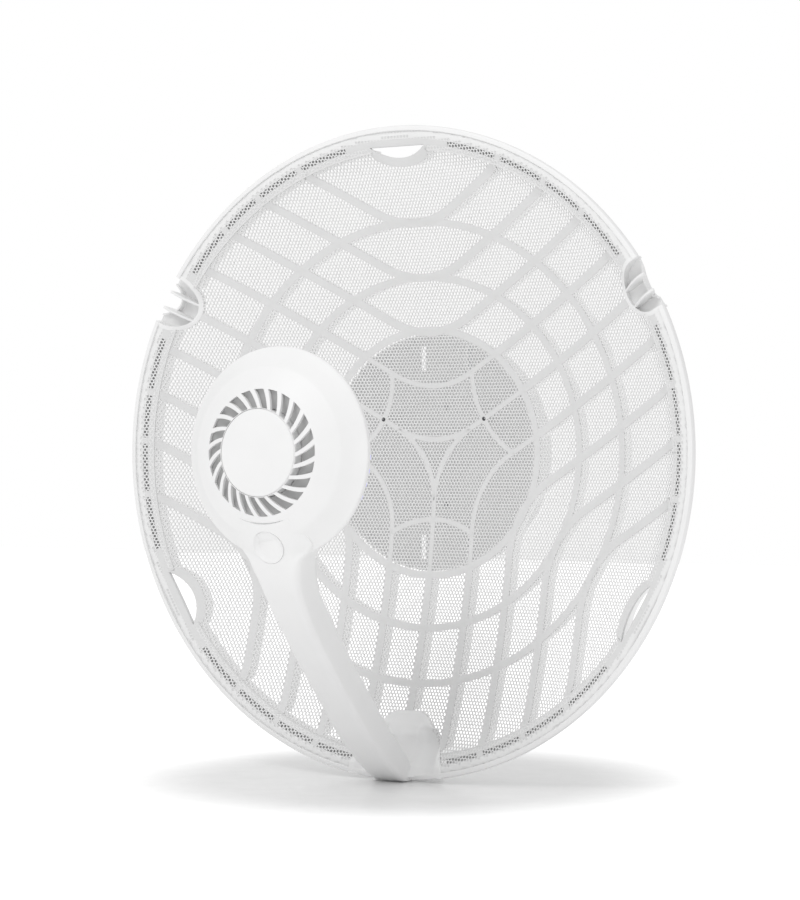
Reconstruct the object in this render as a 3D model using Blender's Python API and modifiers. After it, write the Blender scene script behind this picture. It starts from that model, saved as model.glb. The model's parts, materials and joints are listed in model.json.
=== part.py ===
"""Outdoor wireless bridge: parabolic dish, feed arm, radio head and pole saddle.

World frame in metres: the origin is on the pole's axis, +Z is up and the dish faces -Y.
Most parts are modelled in the dish's own frame, which hangs on an empty: x is to the right as
seen from the front, y is up and z points forward from the dish's vertex.
"""

import math

import bmesh
import bpy
from mathutils import Matrix, Vector

# ---- driving dimensions
GAP = 0.0004                    # clearance between neighbouring pieces
RIM_RADIUS = 0.2065
FOCAL_LENGTH = 0.2100
SKIN = 0.0020
VERTEX_TO_POLE = 0.0960         # dish vertex to pole axis
TURN_STEPS = 48

# ---- dish
SKIN_RADIUS = 0.2035
LIP_INNER_RADIUS = 0.1990
LIP_FRONT = 0.0514
LIP_BACK = 0.0425
SLOT_HALF_LENGTH = 0.0196
SLOT_OUTER = 0.1945
SLOT_DEPTH = 0.0078
NOTCH_RADIUS = 0.0173
NOTCH_CENTRE = 0.2055
RIB_PITCH = 0.02995             # spacing of the parallel ribs
RIB_BEND_RADIUS = 0.0620        # where a rib turns round a rim slot
RIB_HEIGHT = 0.0120
RIB_WIDTH = 0.0020
RING_RADII = (0.1165, 0.1510)
EDGE_RIB_RADIUS = 0.1850
HUB_RADIUS = 0.0765
HUB_DEPTH = 0.0170
HUB_FLOOR = 0.0030
HUB_SCREW_RADIUS = 0.0435       # distance of the hub screws from the axis

# ---- radio head, measured forward from the vertex
HEAD_RADIUS = 0.0612
HEAD_WIDEST = 0.1798
HEAD_FRONT = 0.2053
HEAD_BACK = 0.1400
HEAD_SHELL = 0.0022
CAP_RADIUS = 0.0258
VENT_OUTER = 0.0373
VENT_COUNT = 24
LENS_RADIUS = 0.0222
BOARD_LEVEL = 0.1600
SINK_LEVEL = 0.1760
LIGHT_COUNT = 4

# ---- arm
ARM_HALF_WIDTH = 0.0113
ARM_DEPTH = 0.0270
ARM_WALL = 0.0020
SPINE_TOP = -0.0624
TONGUE_TOP_RADIUS = 0.0436
FOOT_PLATE = 0.0042             # front of the foot's plate above the dish
BUTTON_HEIGHT = -0.0560
BUTTON_RADIUS = 0.0100
BUTTON_TILT = math.radians(20.0)

# ---- pole side
PIVOT_BEHIND = 0.0460           # pivot axis behind the vertex
PIVOT_HEIGHT = -0.0160
LOCK_REACH = 0.0340             # lock bolt from the pivot
TILT_LIMIT = math.radians(15.0)
EAR_HALF_WIDTH = 0.0150
SADDLE_HALF_HEIGHT = 0.0320

WHITE = ((0.86, 0.86, 0.86, 1.0), 0.45, 0.0)
LIGHT_GREY = ((0.66, 0.66, 0.66, 1.0), 0.55, 0.0)
DARK_GREY = ((0.20, 0.20, 0.21, 1.0), 0.60, 0.0)
RUBBER = ((0.05, 0.05, 0.05, 1.0), 0.85, 0.0)
STEEL = ((0.60, 0.60, 0.62, 1.0), 0.35, 1.0)
CAST = ((0.55, 0.56, 0.57, 1.0), 0.50, 1.0)
BOARD = ((0.05, 0.25, 0.12, 1.0), 0.50, 0.0)
CERAMIC = ((0.75, 0.68, 0.55, 1.0), 0.60, 0.0)
LENS = ((0.80, 0.80, 0.78, 1.0), 0.30, 0.0)
BLUE = ((0.45, 0.47, 0.85, 1.0), 0.30, 0.0)


# ---- scene and object helpers

def clear_scene():
    for obj in list(bpy.data.objects):
        bpy.data.objects.remove(obj, do_unlink=True)


def new_collection(name):
    collection = bpy.data.collections.new(name)
    bpy.context.scene.collection.children.link(collection)
    return collection


def frame_empty(name, location, rotation=(0.0, 0.0, 0.0), parent=None):
    empty = bpy.data.objects.new(name, None)
    empty.empty_display_size = 0.02
    empty.location = location
    empty.rotation_euler = rotation
    empty.parent = parent
    PARTS.objects.link(empty)
    return empty


def material_for(finish):
    colour, roughness, metallic = finish
    name = "finish_{:.2f}_{:.2f}_{:.2f}_{:.1f}".format(colour[0], colour[1], roughness, metallic)
    if name in bpy.data.materials:
        return bpy.data.materials[name]
    material = bpy.data.materials.new(name)
    material.use_nodes = True
    shader = material.node_tree.nodes["Principled BSDF"]
    shader.inputs["Base Color"].default_value = colour
    shader.inputs["Roughness"].default_value = roughness
    shader.inputs["Metallic"].default_value = metallic
    return material


def place(name, mesh, parent, location=(0.0, 0.0, 0.0), rotation=(0.0, 0.0, 0.0)):
    obj = bpy.data.objects.new(name, mesh)
    obj.parent = parent
    obj.location = location
    obj.rotation_euler = rotation
    PARTS.objects.link(obj)
    return obj


def finish_part(obj, finish):
    obj.data.materials.clear()
    obj.data.materials.append(material_for(finish))
    return obj


def as_tool(obj):
    """Move a helper shape to the cutters' collection."""
    PARTS.objects.unlink(obj)
    CUTTERS.objects.link(obj)
    obj.hide_render = True
    obj.display_type = 'WIRE'


def combine(target, tool, operation):
    modifier = target.modifiers.new(operation.lower(), 'BOOLEAN')
    modifier.operation = operation
    modifier.solver = 'EXACT'
    modifier.object = tool
    as_tool(tool)
    return modifier


def cut(target, *tools):
    for tool in tools:
        combine(target, tool, 'DIFFERENCE')


def add(target, *tools):
    for tool in tools:
        combine(target, tool, 'UNION')


# ---- shape helpers: each returns an object in its parent's frame

def box(name, low, high, parent, location=(0.0, 0.0, 0.0), rotation=(0.0, 0.0, 0.0)):
    size = [b - a for a, b in zip(low, high)]
    centre = [(a + b) / 2 for a, b in zip(low, high)]
    bm = bmesh.new()
    shape = Matrix.Translation(centre) @ Matrix.Diagonal((*size, 1.0))
    bmesh.ops.create_cube(bm, size=1.0, matrix=shape)
    mesh = bpy.data.meshes.new(name)
    bm.to_mesh(mesh)
    bm.free()
    return place(name, mesh, parent, location, rotation)


def rods(name, radius, spans, parent, segments=16, axis='Z', location=(0.0, 0.0, 0.0),
         rotation=(0.0, 0.0, 0.0)):
    """One cylinder for each (x, y, low, high), or with its own radius as a fifth value."""
    turn = Matrix.Identity(4)
    if axis == 'X':
        turn = Matrix.Rotation(math.radians(90.0), 4, 'Y')
    bm = bmesh.new()
    for span in spans:
        x, y, low, high = span[:4]
        own_radius = span[4] if len(span) > 4 else radius
        middle = Matrix.Translation((x, y, (low + high) / 2))
        bmesh.ops.create_cone(bm, cap_ends=True, segments=segments, radius1=own_radius,
                              radius2=own_radius, depth=high - low, matrix=turn @ middle)
    mesh = bpy.data.meshes.new(name)
    bm.to_mesh(mesh)
    bm.free()
    return place(name, mesh, parent, location, rotation)


def turned(name, profile, parent, closed=False, steps=TURN_STEPS, location=(0.0, 0.0, 0.0),
           rotation=(0.0, 0.0, 0.0)):
    """A profile of (radius, z) turned round z; it runs down the outer side."""
    vertices = [(radius, 0.0, z) for radius, z in profile]
    edges = [(i, i + 1) for i in range(len(profile) - 1)]
    if closed:
        edges.append((len(profile) - 1, 0))
    mesh = bpy.data.meshes.new(name)
    mesh.from_pydata(vertices, edges, [])
    obj = place(name, mesh, parent, location, rotation)
    screw = obj.modifiers.new("turn", 'SCREW')
    screw.axis = 'Z'
    screw.steps = steps
    screw.render_steps = steps
    screw.use_merge_vertices = True
    screw.merge_threshold = 0.00005
    return obj


def prism(name, outlines, low, high, parent, location=(0.0, 0.0, 0.0), rotation=(0.0, 0.0, 0.0)):
    """Flat closed outlines in x and y, extruded from z = low to z = high."""
    curve = bpy.data.curves.new(name, 'CURVE')
    curve.dimensions = '2D'
    curve.fill_mode = 'BOTH'
    curve.extrude = (high - low) / 2
    for outline in outlines:
        spline = curve.splines.new('POLY')
        spline.points.add(len(outline) - 1)
        spline.use_cyclic_u = True
        for point, (x, y) in zip(spline.points, outline):
            point.co = (x, y, 0.0, 1.0)
    shape = bpy.data.objects.new(name + "_outline", curve)
    PARTS.objects.link(shape)
    obj = curve_to_mesh(name, shape, parent, location, rotation)
    obj.data.transform(Matrix.Translation((0.0, 0.0, (low + high) / 2)))
    return obj


def tube(name, points, radius, parent):
    curve = bpy.data.curves.new(name, 'CURVE')
    curve.dimensions = '3D'
    curve.bevel_depth = radius
    curve.bevel_resolution = 1
    curve.use_fill_caps = True
    spline = curve.splines.new('POLY')
    spline.points.add(len(points) - 1)
    for target, point in zip(spline.points, points):
        target.co = (*point, 1.0)
    shape = bpy.data.objects.new(name + "_path", curve)
    PARTS.objects.link(shape)
    return curve_to_mesh(name, shape, parent)


def curve_to_mesh(name, shape, parent, location=(0.0, 0.0, 0.0), rotation=(0.0, 0.0, 0.0)):
    graph = bpy.context.evaluated_depsgraph_get()
    graph.update()
    mesh = bpy.data.meshes.new_from_object(shape.evaluated_get(graph))
    mesh.name = name
    bm = bmesh.new()
    bm.from_mesh(mesh)
    bmesh.ops.remove_doubles(bm, verts=bm.verts, dist=0.00001)
    bm.to_mesh(mesh)
    bm.free()
    bpy.data.objects.remove(shape, do_unlink=True)
    return place(name, mesh, parent, location, rotation)


def loft(name, rings, parent):
    """Closed solid through rings of equally many points, capped at both ends."""
    count = len(rings[0])
    bm = bmesh.new()
    rows = [[bm.verts.new(point) for point in ring] for ring in rings]
    for first, second in zip(rows, rows[1:]):
        for i in range(count):
            j = (i + 1) % count
            bm.faces.new((first[i], first[j], second[j], second[i]))
    bm.faces.new(rows[0])
    bm.faces.new(rows[-1])
    bmesh.ops.recalc_face_normals(bm, faces=bm.faces)
    mesh = bpy.data.meshes.new(name)
    bm.to_mesh(mesh)
    bm.free()
    return place(name, mesh, parent)


def channel(name, sections, wall, edge, parent):
    """U-shaped channel open to the back, through sections of (y, half width, front, back)."""
    rings = []
    for height, half, front, back in sections:
        inner = half - wall
        roof = front - 1.35 * wall
        outside = [(half, back), (half, front - edge), (half - edge, front)]
        inside = [(inner - edge, roof), (inner, roof - edge), (inner, back)]
        profile = outside + [(-x, z) for x, z in reversed(outside)]
        profile += [(-x, z) for x, z in reversed(inside)] + inside
        rings.append([(x, height, z) for x, z in profile])
    return loft(name, rings, parent)


def make_screws(kind, spots, profile, parent, finish=None):
    """One turned screw at each (x, y)."""
    for number, (x, y) in enumerate(spots, 1):
        screw = turned("{}_{}".format(kind, number), profile, parent, steps=8, location=(x, y, 0.0))
        finish_part(screw, finish or STEEL)


def headed(radius, top, step, bottom, shank):
    """Profile of a screw with its head above the step, or below it when shank is negative."""
    if shank > 0:
        return [(0.0, top), (radius, top), (radius, step), (shank, step), (shank, bottom), (0.0, bottom)]
    return [(0.0, top), (-shank, top), (-shank, step), (radius, step), (radius, bottom), (0.0, bottom)]


# ---- shared geometry

def polar(radius, angle):
    return (radius * math.cos(angle), radius * math.sin(angle))


def arc(centre, radius, start, end, count):
    """Points on an arc; angles in degrees, both ends included."""
    points = []
    for i in range(count):
        angle = math.radians(start + (end - start) * i / (count - 1))
        x, y = polar(radius, angle)
        points.append((centre[0] + x, centre[1] + y))
    return points


def turned_points(points, degrees):
    angle = math.radians(degrees)
    cosine = math.cos(angle)
    sine = math.sin(angle)
    return [(x * cosine - y * sine, x * sine + y * cosine) for x, y in points]


def dish_level(radius):
    """Height of the dish's front surface above the vertex."""
    return radius ** 2 / (4 * FOCAL_LENGTH)


def dish_band(inner, outer, front, back, rings):
    """Closed profile between two offsets of the dish's surface."""
    radii = [inner + (outer - inner) * i / rings for i in range(rings + 1)]
    top = [(radius, dish_level(radius) + front) for radius in radii]
    bottom = [(radius, dish_level(radius) + back) for radius in reversed(radii)]
    return top + bottom


def offset_path(path, half_width):
    """Closed outline round an open path of points."""
    left = []
    right = []
    for i, (x, y) in enumerate(path):
        before = path[max(i - 1, 0)]
        after = path[min(i + 1, len(path) - 1)]
        along = Vector((after[0] - before[0], after[1] - before[1])).normalized()
        left.append((x - along.y * half_width, y + along.x * half_width))
        right.append((x + along.y * half_width, y - along.x * half_width))
    return left + right[::-1]


def bent_rib(offset):
    """Rib with two straight legs, 120 degrees apart, that bends below the upper rim slot."""
    vertex = offset / math.cos(math.radians(30.0))
    centre = (0.0, vertex + RIB_BEND_RADIUS / math.sin(math.radians(60.0)))
    bend = arc(centre, RIB_BEND_RADIUS, 240.0, 300.0, 7)
    leg = Vector((math.cos(math.radians(30.0)), math.sin(math.radians(30.0)))) * RIM_RADIUS
    start = (bend[0][0] - leg.x, bend[0][1] + leg.y)
    end = (bend[-1][0] + leg.x, bend[-1][1] + leg.y)
    return [start] + bend + [end]


# ---- dish

def slot_outline():
    """Rim slot at the top: straight outer side, inner side bulging to the middle."""
    half_chord = SLOT_HALF_LENGTH
    bulge_radius = (half_chord ** 2 + SLOT_DEPTH ** 2) / (2 * SLOT_DEPTH)
    centre = (0.0, SLOT_OUTER - SLOT_DEPTH + bulge_radius)
    reach = math.degrees(math.asin(half_chord / bulge_radius))
    return arc(centre, bulge_radius, 270.0 - reach, 270.0 + reach, 9)


def notch_tools(name, low, high, margin=0.0, angles=(30.0, 150.0, 270.0)):
    """Round notches in the rim."""
    centres = [polar(NOTCH_CENTRE, math.radians(angle)) for angle in angles]
    spans = [(x, y, low, high) for x, y in centres]
    return rods(name, NOTCH_RADIUS + margin, spans, DISH, segments=24)


def make_dish_skin():
    front = [(0.0, 0.0)]
    radii = [SKIN_RADIUS * i / 8 for i in range(1, 9)]
    front += [(radius, dish_level(radius)) for radius in radii]
    back = [(radius, dish_level(radius) - SKIN) for radius in reversed(radii)]
    skin = turned("dish_skin", front + back + [(0.0, -SKIN)], DISH)
    holes = [(*polar(HUB_SCREW_RADIUS, math.radians(angle)), -0.01, 0.01) for angle in (30.0, 150.0)]
    cut(skin, rods("hub_hole_tool", 0.0019, holes, DISH, segments=10))
    spots = [(x, y, 0.02, 0.05) for x, y in FOOT_SCREWS]
    cut(skin, rods("skin_foot_hole_tool", 0.0015, spots, DISH, segments=12))
    outline = slot_outline()
    slots = [turned_points(outline, turn) for turn in (0.0, 120.0, 240.0)]
    cut(skin, prism("slot_tool", slots, 0.03, 0.06, DISH))
    cut(skin, notch_tools("skin_notch_tool", 0.03, 0.06))
    return finish_part(skin, WHITE)


def make_rim_ring():
    wall = RIM_RADIUS - 0.0022
    under = LIP_FRONT - 0.0017
    profile = [(LIP_INNER_RADIUS, LIP_FRONT), (RIM_RADIUS - 0.0015, LIP_FRONT),
               (RIM_RADIUS, LIP_FRONT - 0.0015), (RIM_RADIUS, LIP_BACK), (wall, LIP_BACK),
               (wall, under), (LIP_INNER_RADIUS, under)]
    ring = turned("rim_ring", profile, DISH, closed=True, steps=72)
    collar = turned("collar_tool", dish_band(0.1840, 0.2040, 0.0016, GAP + 0.0002, 2), DISH, closed=True)
    combine(collar, notch_tools("collar_outline_tool", 0.03, 0.06, 0.0014, (30.0, 150.0)), 'INTERSECT')
    add(ring, collar)
    cut(ring, notch_tools("rim_notch_tool", 0.03, 0.06, 0.0, (30.0, 150.0)))
    return finish_part(ring, WHITE)


def make_rib_lattice():
    walls = []
    for turn in (0.0, 120.0, 240.0):
        for number in (1, 2, 3, 4):
            walls.append(offset_path(turned_points(bent_rib(number * RIB_PITCH), turn), RIB_WIDTH / 2))
        spoke = [(0.0, -HUB_RADIUS + 0.01), (0.0, -NOTCH_CENTRE)]
        walls.append(offset_path(turned_points(spoke, turn), RIB_WIDTH / 2))
        slot_rib = arc((0.0, 0.2250), 0.0430, 215.0, 325.0, 7)
        walls.append(offset_path(turned_points(slot_rib, turn), RIB_WIDTH / 2))
    tools = [prism("rib_wall_tool", [wall], -0.03, 0.06, DISH) for wall in walls]
    for radius in (*RING_RADII, EDGE_RIB_RADIUS):
        rims = [arc((0.0, 0.0), radius + side * RIB_WIDTH / 2, 0.0, 352.5, 48) for side in (1, -1)]
        tools.append(prism("ring_wall_tool", rims, -0.03, 0.06, DISH))
    web = join_meshes("rib_web_tool", tools)
    front = -SKIN - GAP
    slab = turned("rib_lattice", dish_band(HUB_RADIUS + GAP, 0.1965, front, front - RIB_HEIGHT, 5),
                  DISH, closed=True)
    cut(slab, notch_tools("rib_notch_tool", 0.0, 0.06, GAP))
    slots = [turned_points(slot_outline(), turn) for turn in (0.0, 120.0, 240.0)]
    cut(slab, prism("rib_slot_tool", slots, 0.0, 0.06, DISH))
    combine(slab, web, 'INTERSECT').use_self = True
    return finish_part(slab, WHITE)


def join_meshes(name, objects):
    """One mesh of several closed bodies, which may cross each other."""
    bm = bmesh.new()
    for obj in objects:
        bm.from_mesh(obj.data)
        bpy.data.objects.remove(obj, do_unlink=True)
    mesh = bpy.data.meshes.new(name)
    bm.to_mesh(mesh)
    bm.free()
    return place(name, mesh, DISH)


def make_hub():
    wall = HUB_RADIUS - 0.0020
    rim = dish_level(HUB_RADIUS) - SKIN - 2 * GAP
    profile = [(wall, rim), (HUB_RADIUS, rim), (HUB_RADIUS, -HUB_DEPTH), (0.0, -HUB_DEPTH)]
    inner = [(0.0, HUB_FLOOR - HUB_DEPTH), (wall, HUB_FLOOR - HUB_DEPTH)]
    cup = turned("hub_cup", inner + profile, DISH)
    posts = [(*polar(HUB_SCREW_RADIUS, math.radians(angle)), -HUB_DEPTH + 0.001, -SKIN - GAP)
             for angle in (30.0, 150.0)]
    add(cup, rods("hub_post_tool", 0.0045, posts, DISH, segments=12))
    holes = [(x, y, -HUB_DEPTH - 0.001, 0.0) for x, y, low, high in posts]
    cut(cup, rods("hub_post_hole_tool", 0.0014, holes, DISH, segments=8))
    for side in (-1, 1):
        for up in (-1, 1):
            low = (side * 0.0175 - 0.0025, up * 0.062 - 0.008, -0.02)
            high = (side * 0.0175 + 0.0025, up * 0.062 + 0.008, 0.0)
            cut(cup, box("hub_slot_tool", low, high, DISH))
    cut(cup, rods("bracket_hole_tool", 0.0020, [(x, y, -0.02, 0.0) for x, y in BRACKET_SCREWS],
                  DISH, segments=8))
    finish_part(cup, LIGHT_GREY)

    spots = [(x, y) for x, y, low, high in posts]
    top = dish_level(HUB_SCREW_RADIUS) - GAP
    make_screws("hub_screw", spots, headed(0.0015, top, -GAP, -HUB_DEPTH + 0.002, 0.0010), DISH, DARK_GREY)


def make_socket(name, angle, top):
    """Toothed socket behind a notch; built at the bottom of the dish, then turned."""
    centre = (0.0, -NOTCH_CENTRE)
    outer = NOTCH_RADIUS - GAP
    inner = outer - 0.0020
    wall = arc(centre, outer, 0.0, 180.0, 13) + arc(centre, inner, 180.0, 0.0, 13)
    floor = arc(centre, outer, 0.0, 180.0, 13)
    turn = math.radians(angle - 270.0)
    socket = prism(name, [wall], 0.0200, top, DISH, rotation=(0.0, 0.0, turn))
    add(socket, prism("socket_floor_tool", [floor], 0.0180, 0.0205, DISH, rotation=(0.0, 0.0, turn)))
    for x in (-0.0057, 0.0057):
        low = (x - 0.0010, -NOTCH_CENTRE - 0.0005, 0.0200)
        high = (x + 0.0010, -NOTCH_CENTRE + inner, 0.0280)
        add(socket, box("socket_fin_tool", low, high, DISH, rotation=(0.0, 0.0, turn)))
    return finish_part(socket, WHITE)


# ---- pole side

BRACKET_SCREWS = ((0.0, 0.045), (0.0, -0.045), (0.0, 0.030), (0.0, -0.034))
GROUND_SCREW = (0.0, -0.0590, 0.0)


def plate_across(name, outline, x_low, x_high, parent):
    """Plate in the plane of y and z: the outline's points are (y, z)."""
    turned_outline = [(-z, y) for y, z in outline]
    quarter = (0.0, math.radians(90.0), 0.0)
    return prism(name, [turned_outline], x_low, x_high, parent, rotation=quarter)


def make_tilt_bracket():
    back = -HUB_DEPTH - GAP
    base = box("tilt_bracket", (-EAR_HALF_WIDTH, -0.070, back - 0.003), (EAR_HALF_WIDTH, 0.070, back), DISH)
    pivot = (PIVOT_HEIGHT, -PIVOT_BEHIND)
    lock = (PIVOT_HEIGHT + LOCK_REACH, -PIVOT_BEHIND)
    front = back - 0.001
    ear = [(0.070, front), (0.070, -0.032)] + arc(lock, 0.0100, 20.0, -90.0, 6)
    ear += arc(pivot, 0.0110, -90.0, -200.0, 6) + [(-0.070, -0.032), (-0.070, front)]
    for low, high in ((-EAR_HALF_WIDTH, -EAR_HALF_WIDTH + 0.003), (EAR_HALF_WIDTH - 0.003, EAR_HALF_WIDTH)):
        add(base, plate_across("ear_tool", ear, low, high, DISH))
    cut(base, cross_holes("bracket_pin_tool", 0.0034, DISH))
    holes = [(x, y, -0.03, 0.0) for x, y in (*BRACKET_SCREWS, GROUND_SCREW[:2])]
    cut(base, rods("bracket_screw_tool", 0.0020, holes, DISH, segments=8))
    finish_part(base, CAST)

    seat = back - 0.0034
    profile = headed(0.0038, -HUB_DEPTH + HUB_FLOOR + 0.002, seat, seat - 0.0022, -0.0014)
    make_screws("bracket_screw", BRACKET_SCREWS, profile, DISH)
    profile = headed(0.0046, back - GAP, seat, seat - 0.0030, -0.0014)
    finish_part(turned("ground_screw", profile, DISH, steps=12, location=GROUND_SCREW), STEEL)


def cross_holes(name, radius, parent):
    """Pivot and lock holes through both ears."""
    bars = [(PIVOT_BEHIND, PIVOT_HEIGHT, -0.03, 0.03), (PIVOT_BEHIND, PIVOT_HEIGHT + LOCK_REACH, -0.03, 0.03)]
    return rods(name, radius, bars, parent, segments=16, axis='X')


def make_pole_saddle():
    inner = EAR_HALF_WIDTH + GAP
    outer = inner + 0.0030
    web_front = -0.0665
    web_back = -0.0700
    ear = [(-0.030, web_back + 0.001), (-0.030, -PIVOT_BEHIND)]
    ear += arc((PIVOT_HEIGHT, -PIVOT_BEHIND), 0.0130, 180.0, 60.0, 6)
    ear += [(0.002, -0.0300), (0.0255, -0.0305), (0.0265, web_back + 0.001)]
    saddle = box("pole_saddle", (-0.0240, -SADDLE_HALF_HEIGHT, web_back),
                 (0.0240, SADDLE_HALF_HEIGHT, web_front), POLE)
    for low, high in ((-outer, -inner), (inner, outer)):
        add(saddle, plate_across("saddle_ear_tool", ear, low, high, POLE))
    for side in (-1, 1):
        jaw = [(side * 0.0235, web_back + 0.001), (side * 0.0235, -0.0815), (side * 0.0200, -0.0800),
               (side * 0.0125, -0.0720), (side * 0.0110, web_back + 0.001)]
        add(saddle, prism_up("saddle_jaw_tool", jaw, -SADDLE_HALF_HEIGHT, SADDLE_HALF_HEIGHT))
    for number in range(7):
        level = -0.0270 + 0.0090 * number
        cut(saddle, box("tooth_tool", (-0.03, level - 0.0015, -0.09), (0.03, level + 0.0015, -0.0745), POLE))
    cut(saddle, rods("saddle_pivot_tool", 0.0034, [(PIVOT_BEHIND, PIVOT_HEIGHT, -0.03, 0.03)], POLE,
                     axis='X'))
    cut(saddle, plate_across("lock_slot_tool", lock_slot(), -0.03, 0.03, POLE))
    for side in (-1, 1):
        low = (side * 0.0205 - 0.0015, -0.0090, -0.09)
        high = (side * 0.0205 + 0.0015, 0.0090, -0.0600)
        cut(saddle, box("strap_slot_tool", low, high, POLE))
    finish_part(saddle, CAST)


def lock_slot():
    """Slot for the lock bolt, as (y, z) points, an arc round the pivot."""
    half = 0.0034
    reach = math.degrees(TILT_LIMIT) + 1.0
    pivot = (PIVOT_HEIGHT, -PIVOT_BEHIND)
    side = arc(pivot, LOCK_REACH + half, -reach, reach, 7)
    end = arc((pivot[0] + LOCK_REACH * math.cos(math.radians(reach)),
               pivot[1] + LOCK_REACH * math.sin(math.radians(reach))), half, reach, reach + 180.0, 6)
    back = arc(pivot, LOCK_REACH - half, reach, -reach, 7)
    start = arc((pivot[0] + LOCK_REACH * math.cos(math.radians(-reach)),
                 pivot[1] + LOCK_REACH * math.sin(math.radians(-reach))), half, 180.0 - reach, 360.0 - reach, 6)
    return side + end[1:-1] + back + start[1:-1]


def prism_up(name, outline, low, high):
    """Prism along the dish frame's y; the outline's points are (x, z)."""
    quarter = (math.radians(-90.0), 0.0, 0.0)
    return prism(name, [[(x, -z) for x, z in outline]], low, high, POLE, rotation=quarter)


def make_cross_bolt(kind, height, parent):
    """Bolt through all four ears, with its head on the right and its nut on the left."""
    side = EAR_HALF_WIDTH + GAP + 0.0030 + GAP
    bolt = rods(kind + "_bolt", 0.0055, [(PIVOT_BEHIND, height, side, side + 0.0035)], parent,
                segments=6, axis='X')
    shank = [(PIVOT_BEHIND, height, -side - 0.0065, side + 0.001)]
    add(bolt, rods(kind + "_shank_tool", 0.0029, shank, parent, segments=16, axis='X'))
    finish_part(bolt, STEEL)
    nut = rods(kind + "_nut", 0.0058, [(PIVOT_BEHIND, height, -side - 0.0045, -side)], parent,
               segments=6, axis='X')
    bore = [(PIVOT_BEHIND, height, -side - 0.01, -side + 0.01)]
    cut(nut, rods(kind + "_nut_bore_tool", 0.0029 + GAP, bore, parent, segments=16, axis='X'))
    finish_part(nut, STEEL)


# ---- radio head

def dome(radius):
    """Front of the head: level at a distance from its axis."""
    points = ((0.0, HEAD_FRONT), (CAP_RADIUS, HEAD_FRONT - 0.0013), (VENT_OUTER, HEAD_FRONT - 0.0063),
              (0.0480, 0.1905), (0.0570, 0.1843), (HEAD_RADIUS, HEAD_WIDEST + 0.0004))
    for (r0, z0), (r1, z1) in zip(points, points[1:]):
        if radius <= r1:
            return z0 + (z1 - z0) * (radius - r0) / (r1 - r0)
    return points[-1][1]


def make_head_front():
    radii = (CAP_RADIUS + GAP, 0.0315, VENT_OUTER, 0.0480, 0.0570, HEAD_RADIUS)
    outer = [(radius, dome(radius)) for radius in radii]
    inner = [(HEAD_RADIUS - HEAD_SHELL, HEAD_WIDEST + 0.0004)]
    inner += [(radius - HEAD_SHELL * 0.6, dome(radius) - HEAD_SHELL) for radius in (0.0570, 0.0480, VENT_OUTER)]
    inner += [(CAP_RADIUS + GAP, dome(CAP_RADIUS) - HEAD_SHELL)]
    cover = turned("head_front_cover", outer + inner, HEAD, closed=True)
    cut(cover, prism("vent_tool", vent_outlines(), 0.18, 0.21, HEAD))
    cut(cover, prism("tongue_notch_tool", [tongue_outline(GAP)], HEAD_WIDEST, 0.21, HEAD))
    finish_part(cover, WHITE)

    cap = [(0.0, HEAD_FRONT), (CAP_RADIUS - 0.002, HEAD_FRONT - 0.0008), (CAP_RADIUS, HEAD_FRONT - 0.0020),
           (CAP_RADIUS, HEAD_FRONT - 0.0045), (CAP_RADIUS - 0.002, HEAD_FRONT - 0.0045)]
    post = [(CAP_RADIUS - 0.002, HEAD_FRONT - 0.0030), (0.0040, HEAD_FRONT - 0.0030),
            (0.0040, 0.1910), (0.0, 0.1910)]
    finish_part(turned("head_centre_cap", cap + post, HEAD), WHITE)


def vent_outlines():
    """Slanted slots between the cap and the vent ring's outer edge."""
    slots = []
    lean = math.radians(14.0)
    pitch = 2 * math.pi / VENT_COUNT
    inner = CAP_RADIUS + 0.0010
    for number in range(VENT_COUNT):
        angle = number * pitch
        slots.append([polar(inner, angle - 0.28 * pitch), polar(VENT_OUTER, angle + lean - 0.32 * pitch),
                      polar(VENT_OUTER, angle + lean + 0.32 * pitch), polar(inner, angle + 0.28 * pitch)])
    return slots


def tongue_outline(margin):
    """Front outline of the arm where it lies over the head."""
    top = arc((0.0, 0.0), TONGUE_TOP_RADIUS - margin, 244.5, 295.5, 7)
    side = [(0.0215 + margin, -0.0500), (0.0225 + margin, -0.0700)]
    return top + side + [(-x, y) for x, y in reversed(side)]


def make_head_rear():
    outer = [(HEAD_RADIUS, HEAD_WIDEST), (0.0600, 0.1765), (0.0540, 0.1670), (0.0460, 0.1555),
             (0.0380, 0.1450), (0.0320, HEAD_BACK), (LENS_RADIUS + GAP, HEAD_BACK)]
    inner = [(LENS_RADIUS + GAP, HEAD_BACK + HEAD_SHELL), (0.0310, HEAD_BACK + HEAD_SHELL),
             (0.0362, 0.1468), (0.0438, 0.1570), (0.0500, 0.1660), (0.0500, 0.1735), (0.0558, 0.1735),
             (0.0572, 0.1765), (0.0585, HEAD_WIDEST)]
    shell = turned("head_rear_shell", outer + inner, HEAD, closed=True)
    for side in (-1, 1):
        low = (side * 0.0085 - 0.0015, -0.0710, 0.1666)
        high = (side * 0.0085 + 0.0015, -0.0575, 0.1796)
        add(shell, box("neck_rail_tool", low, high, HEAD))
    cut(shell, box("cable_window_tool", (-0.0062, -0.0640, 0.1610), (0.0062, -0.0430, 0.1740), HEAD))
    cut(shell, rods("neck_hole_tool", 0.0009, [(x, -0.0665, 0.16, 0.176) for x in (-0.0085, 0.0085)],
                    HEAD, segments=8))
    spots = [(x, y, 0.1705, 0.18) for x, y in head_screw_spots()]
    cut(shell, rods("head_screw_hole_tool", 0.0012, spots, HEAD, segments=8))
    for number in range(LIGHT_COUNT):
        cut(shell, light_rod("light_hole_tool", number, 0.0011))
    finish_part(shell, WHITE)

    for number in range(LIGHT_COUNT):
        finish_part(light_rod("status_light_{}".format(number + 1), number, 0.0008), BLUE)


def head_screw_spots():
    return [polar(0.0543, math.radians(angle)) for angle in (45.0, 135.0, 215.0, 325.0)]


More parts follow.
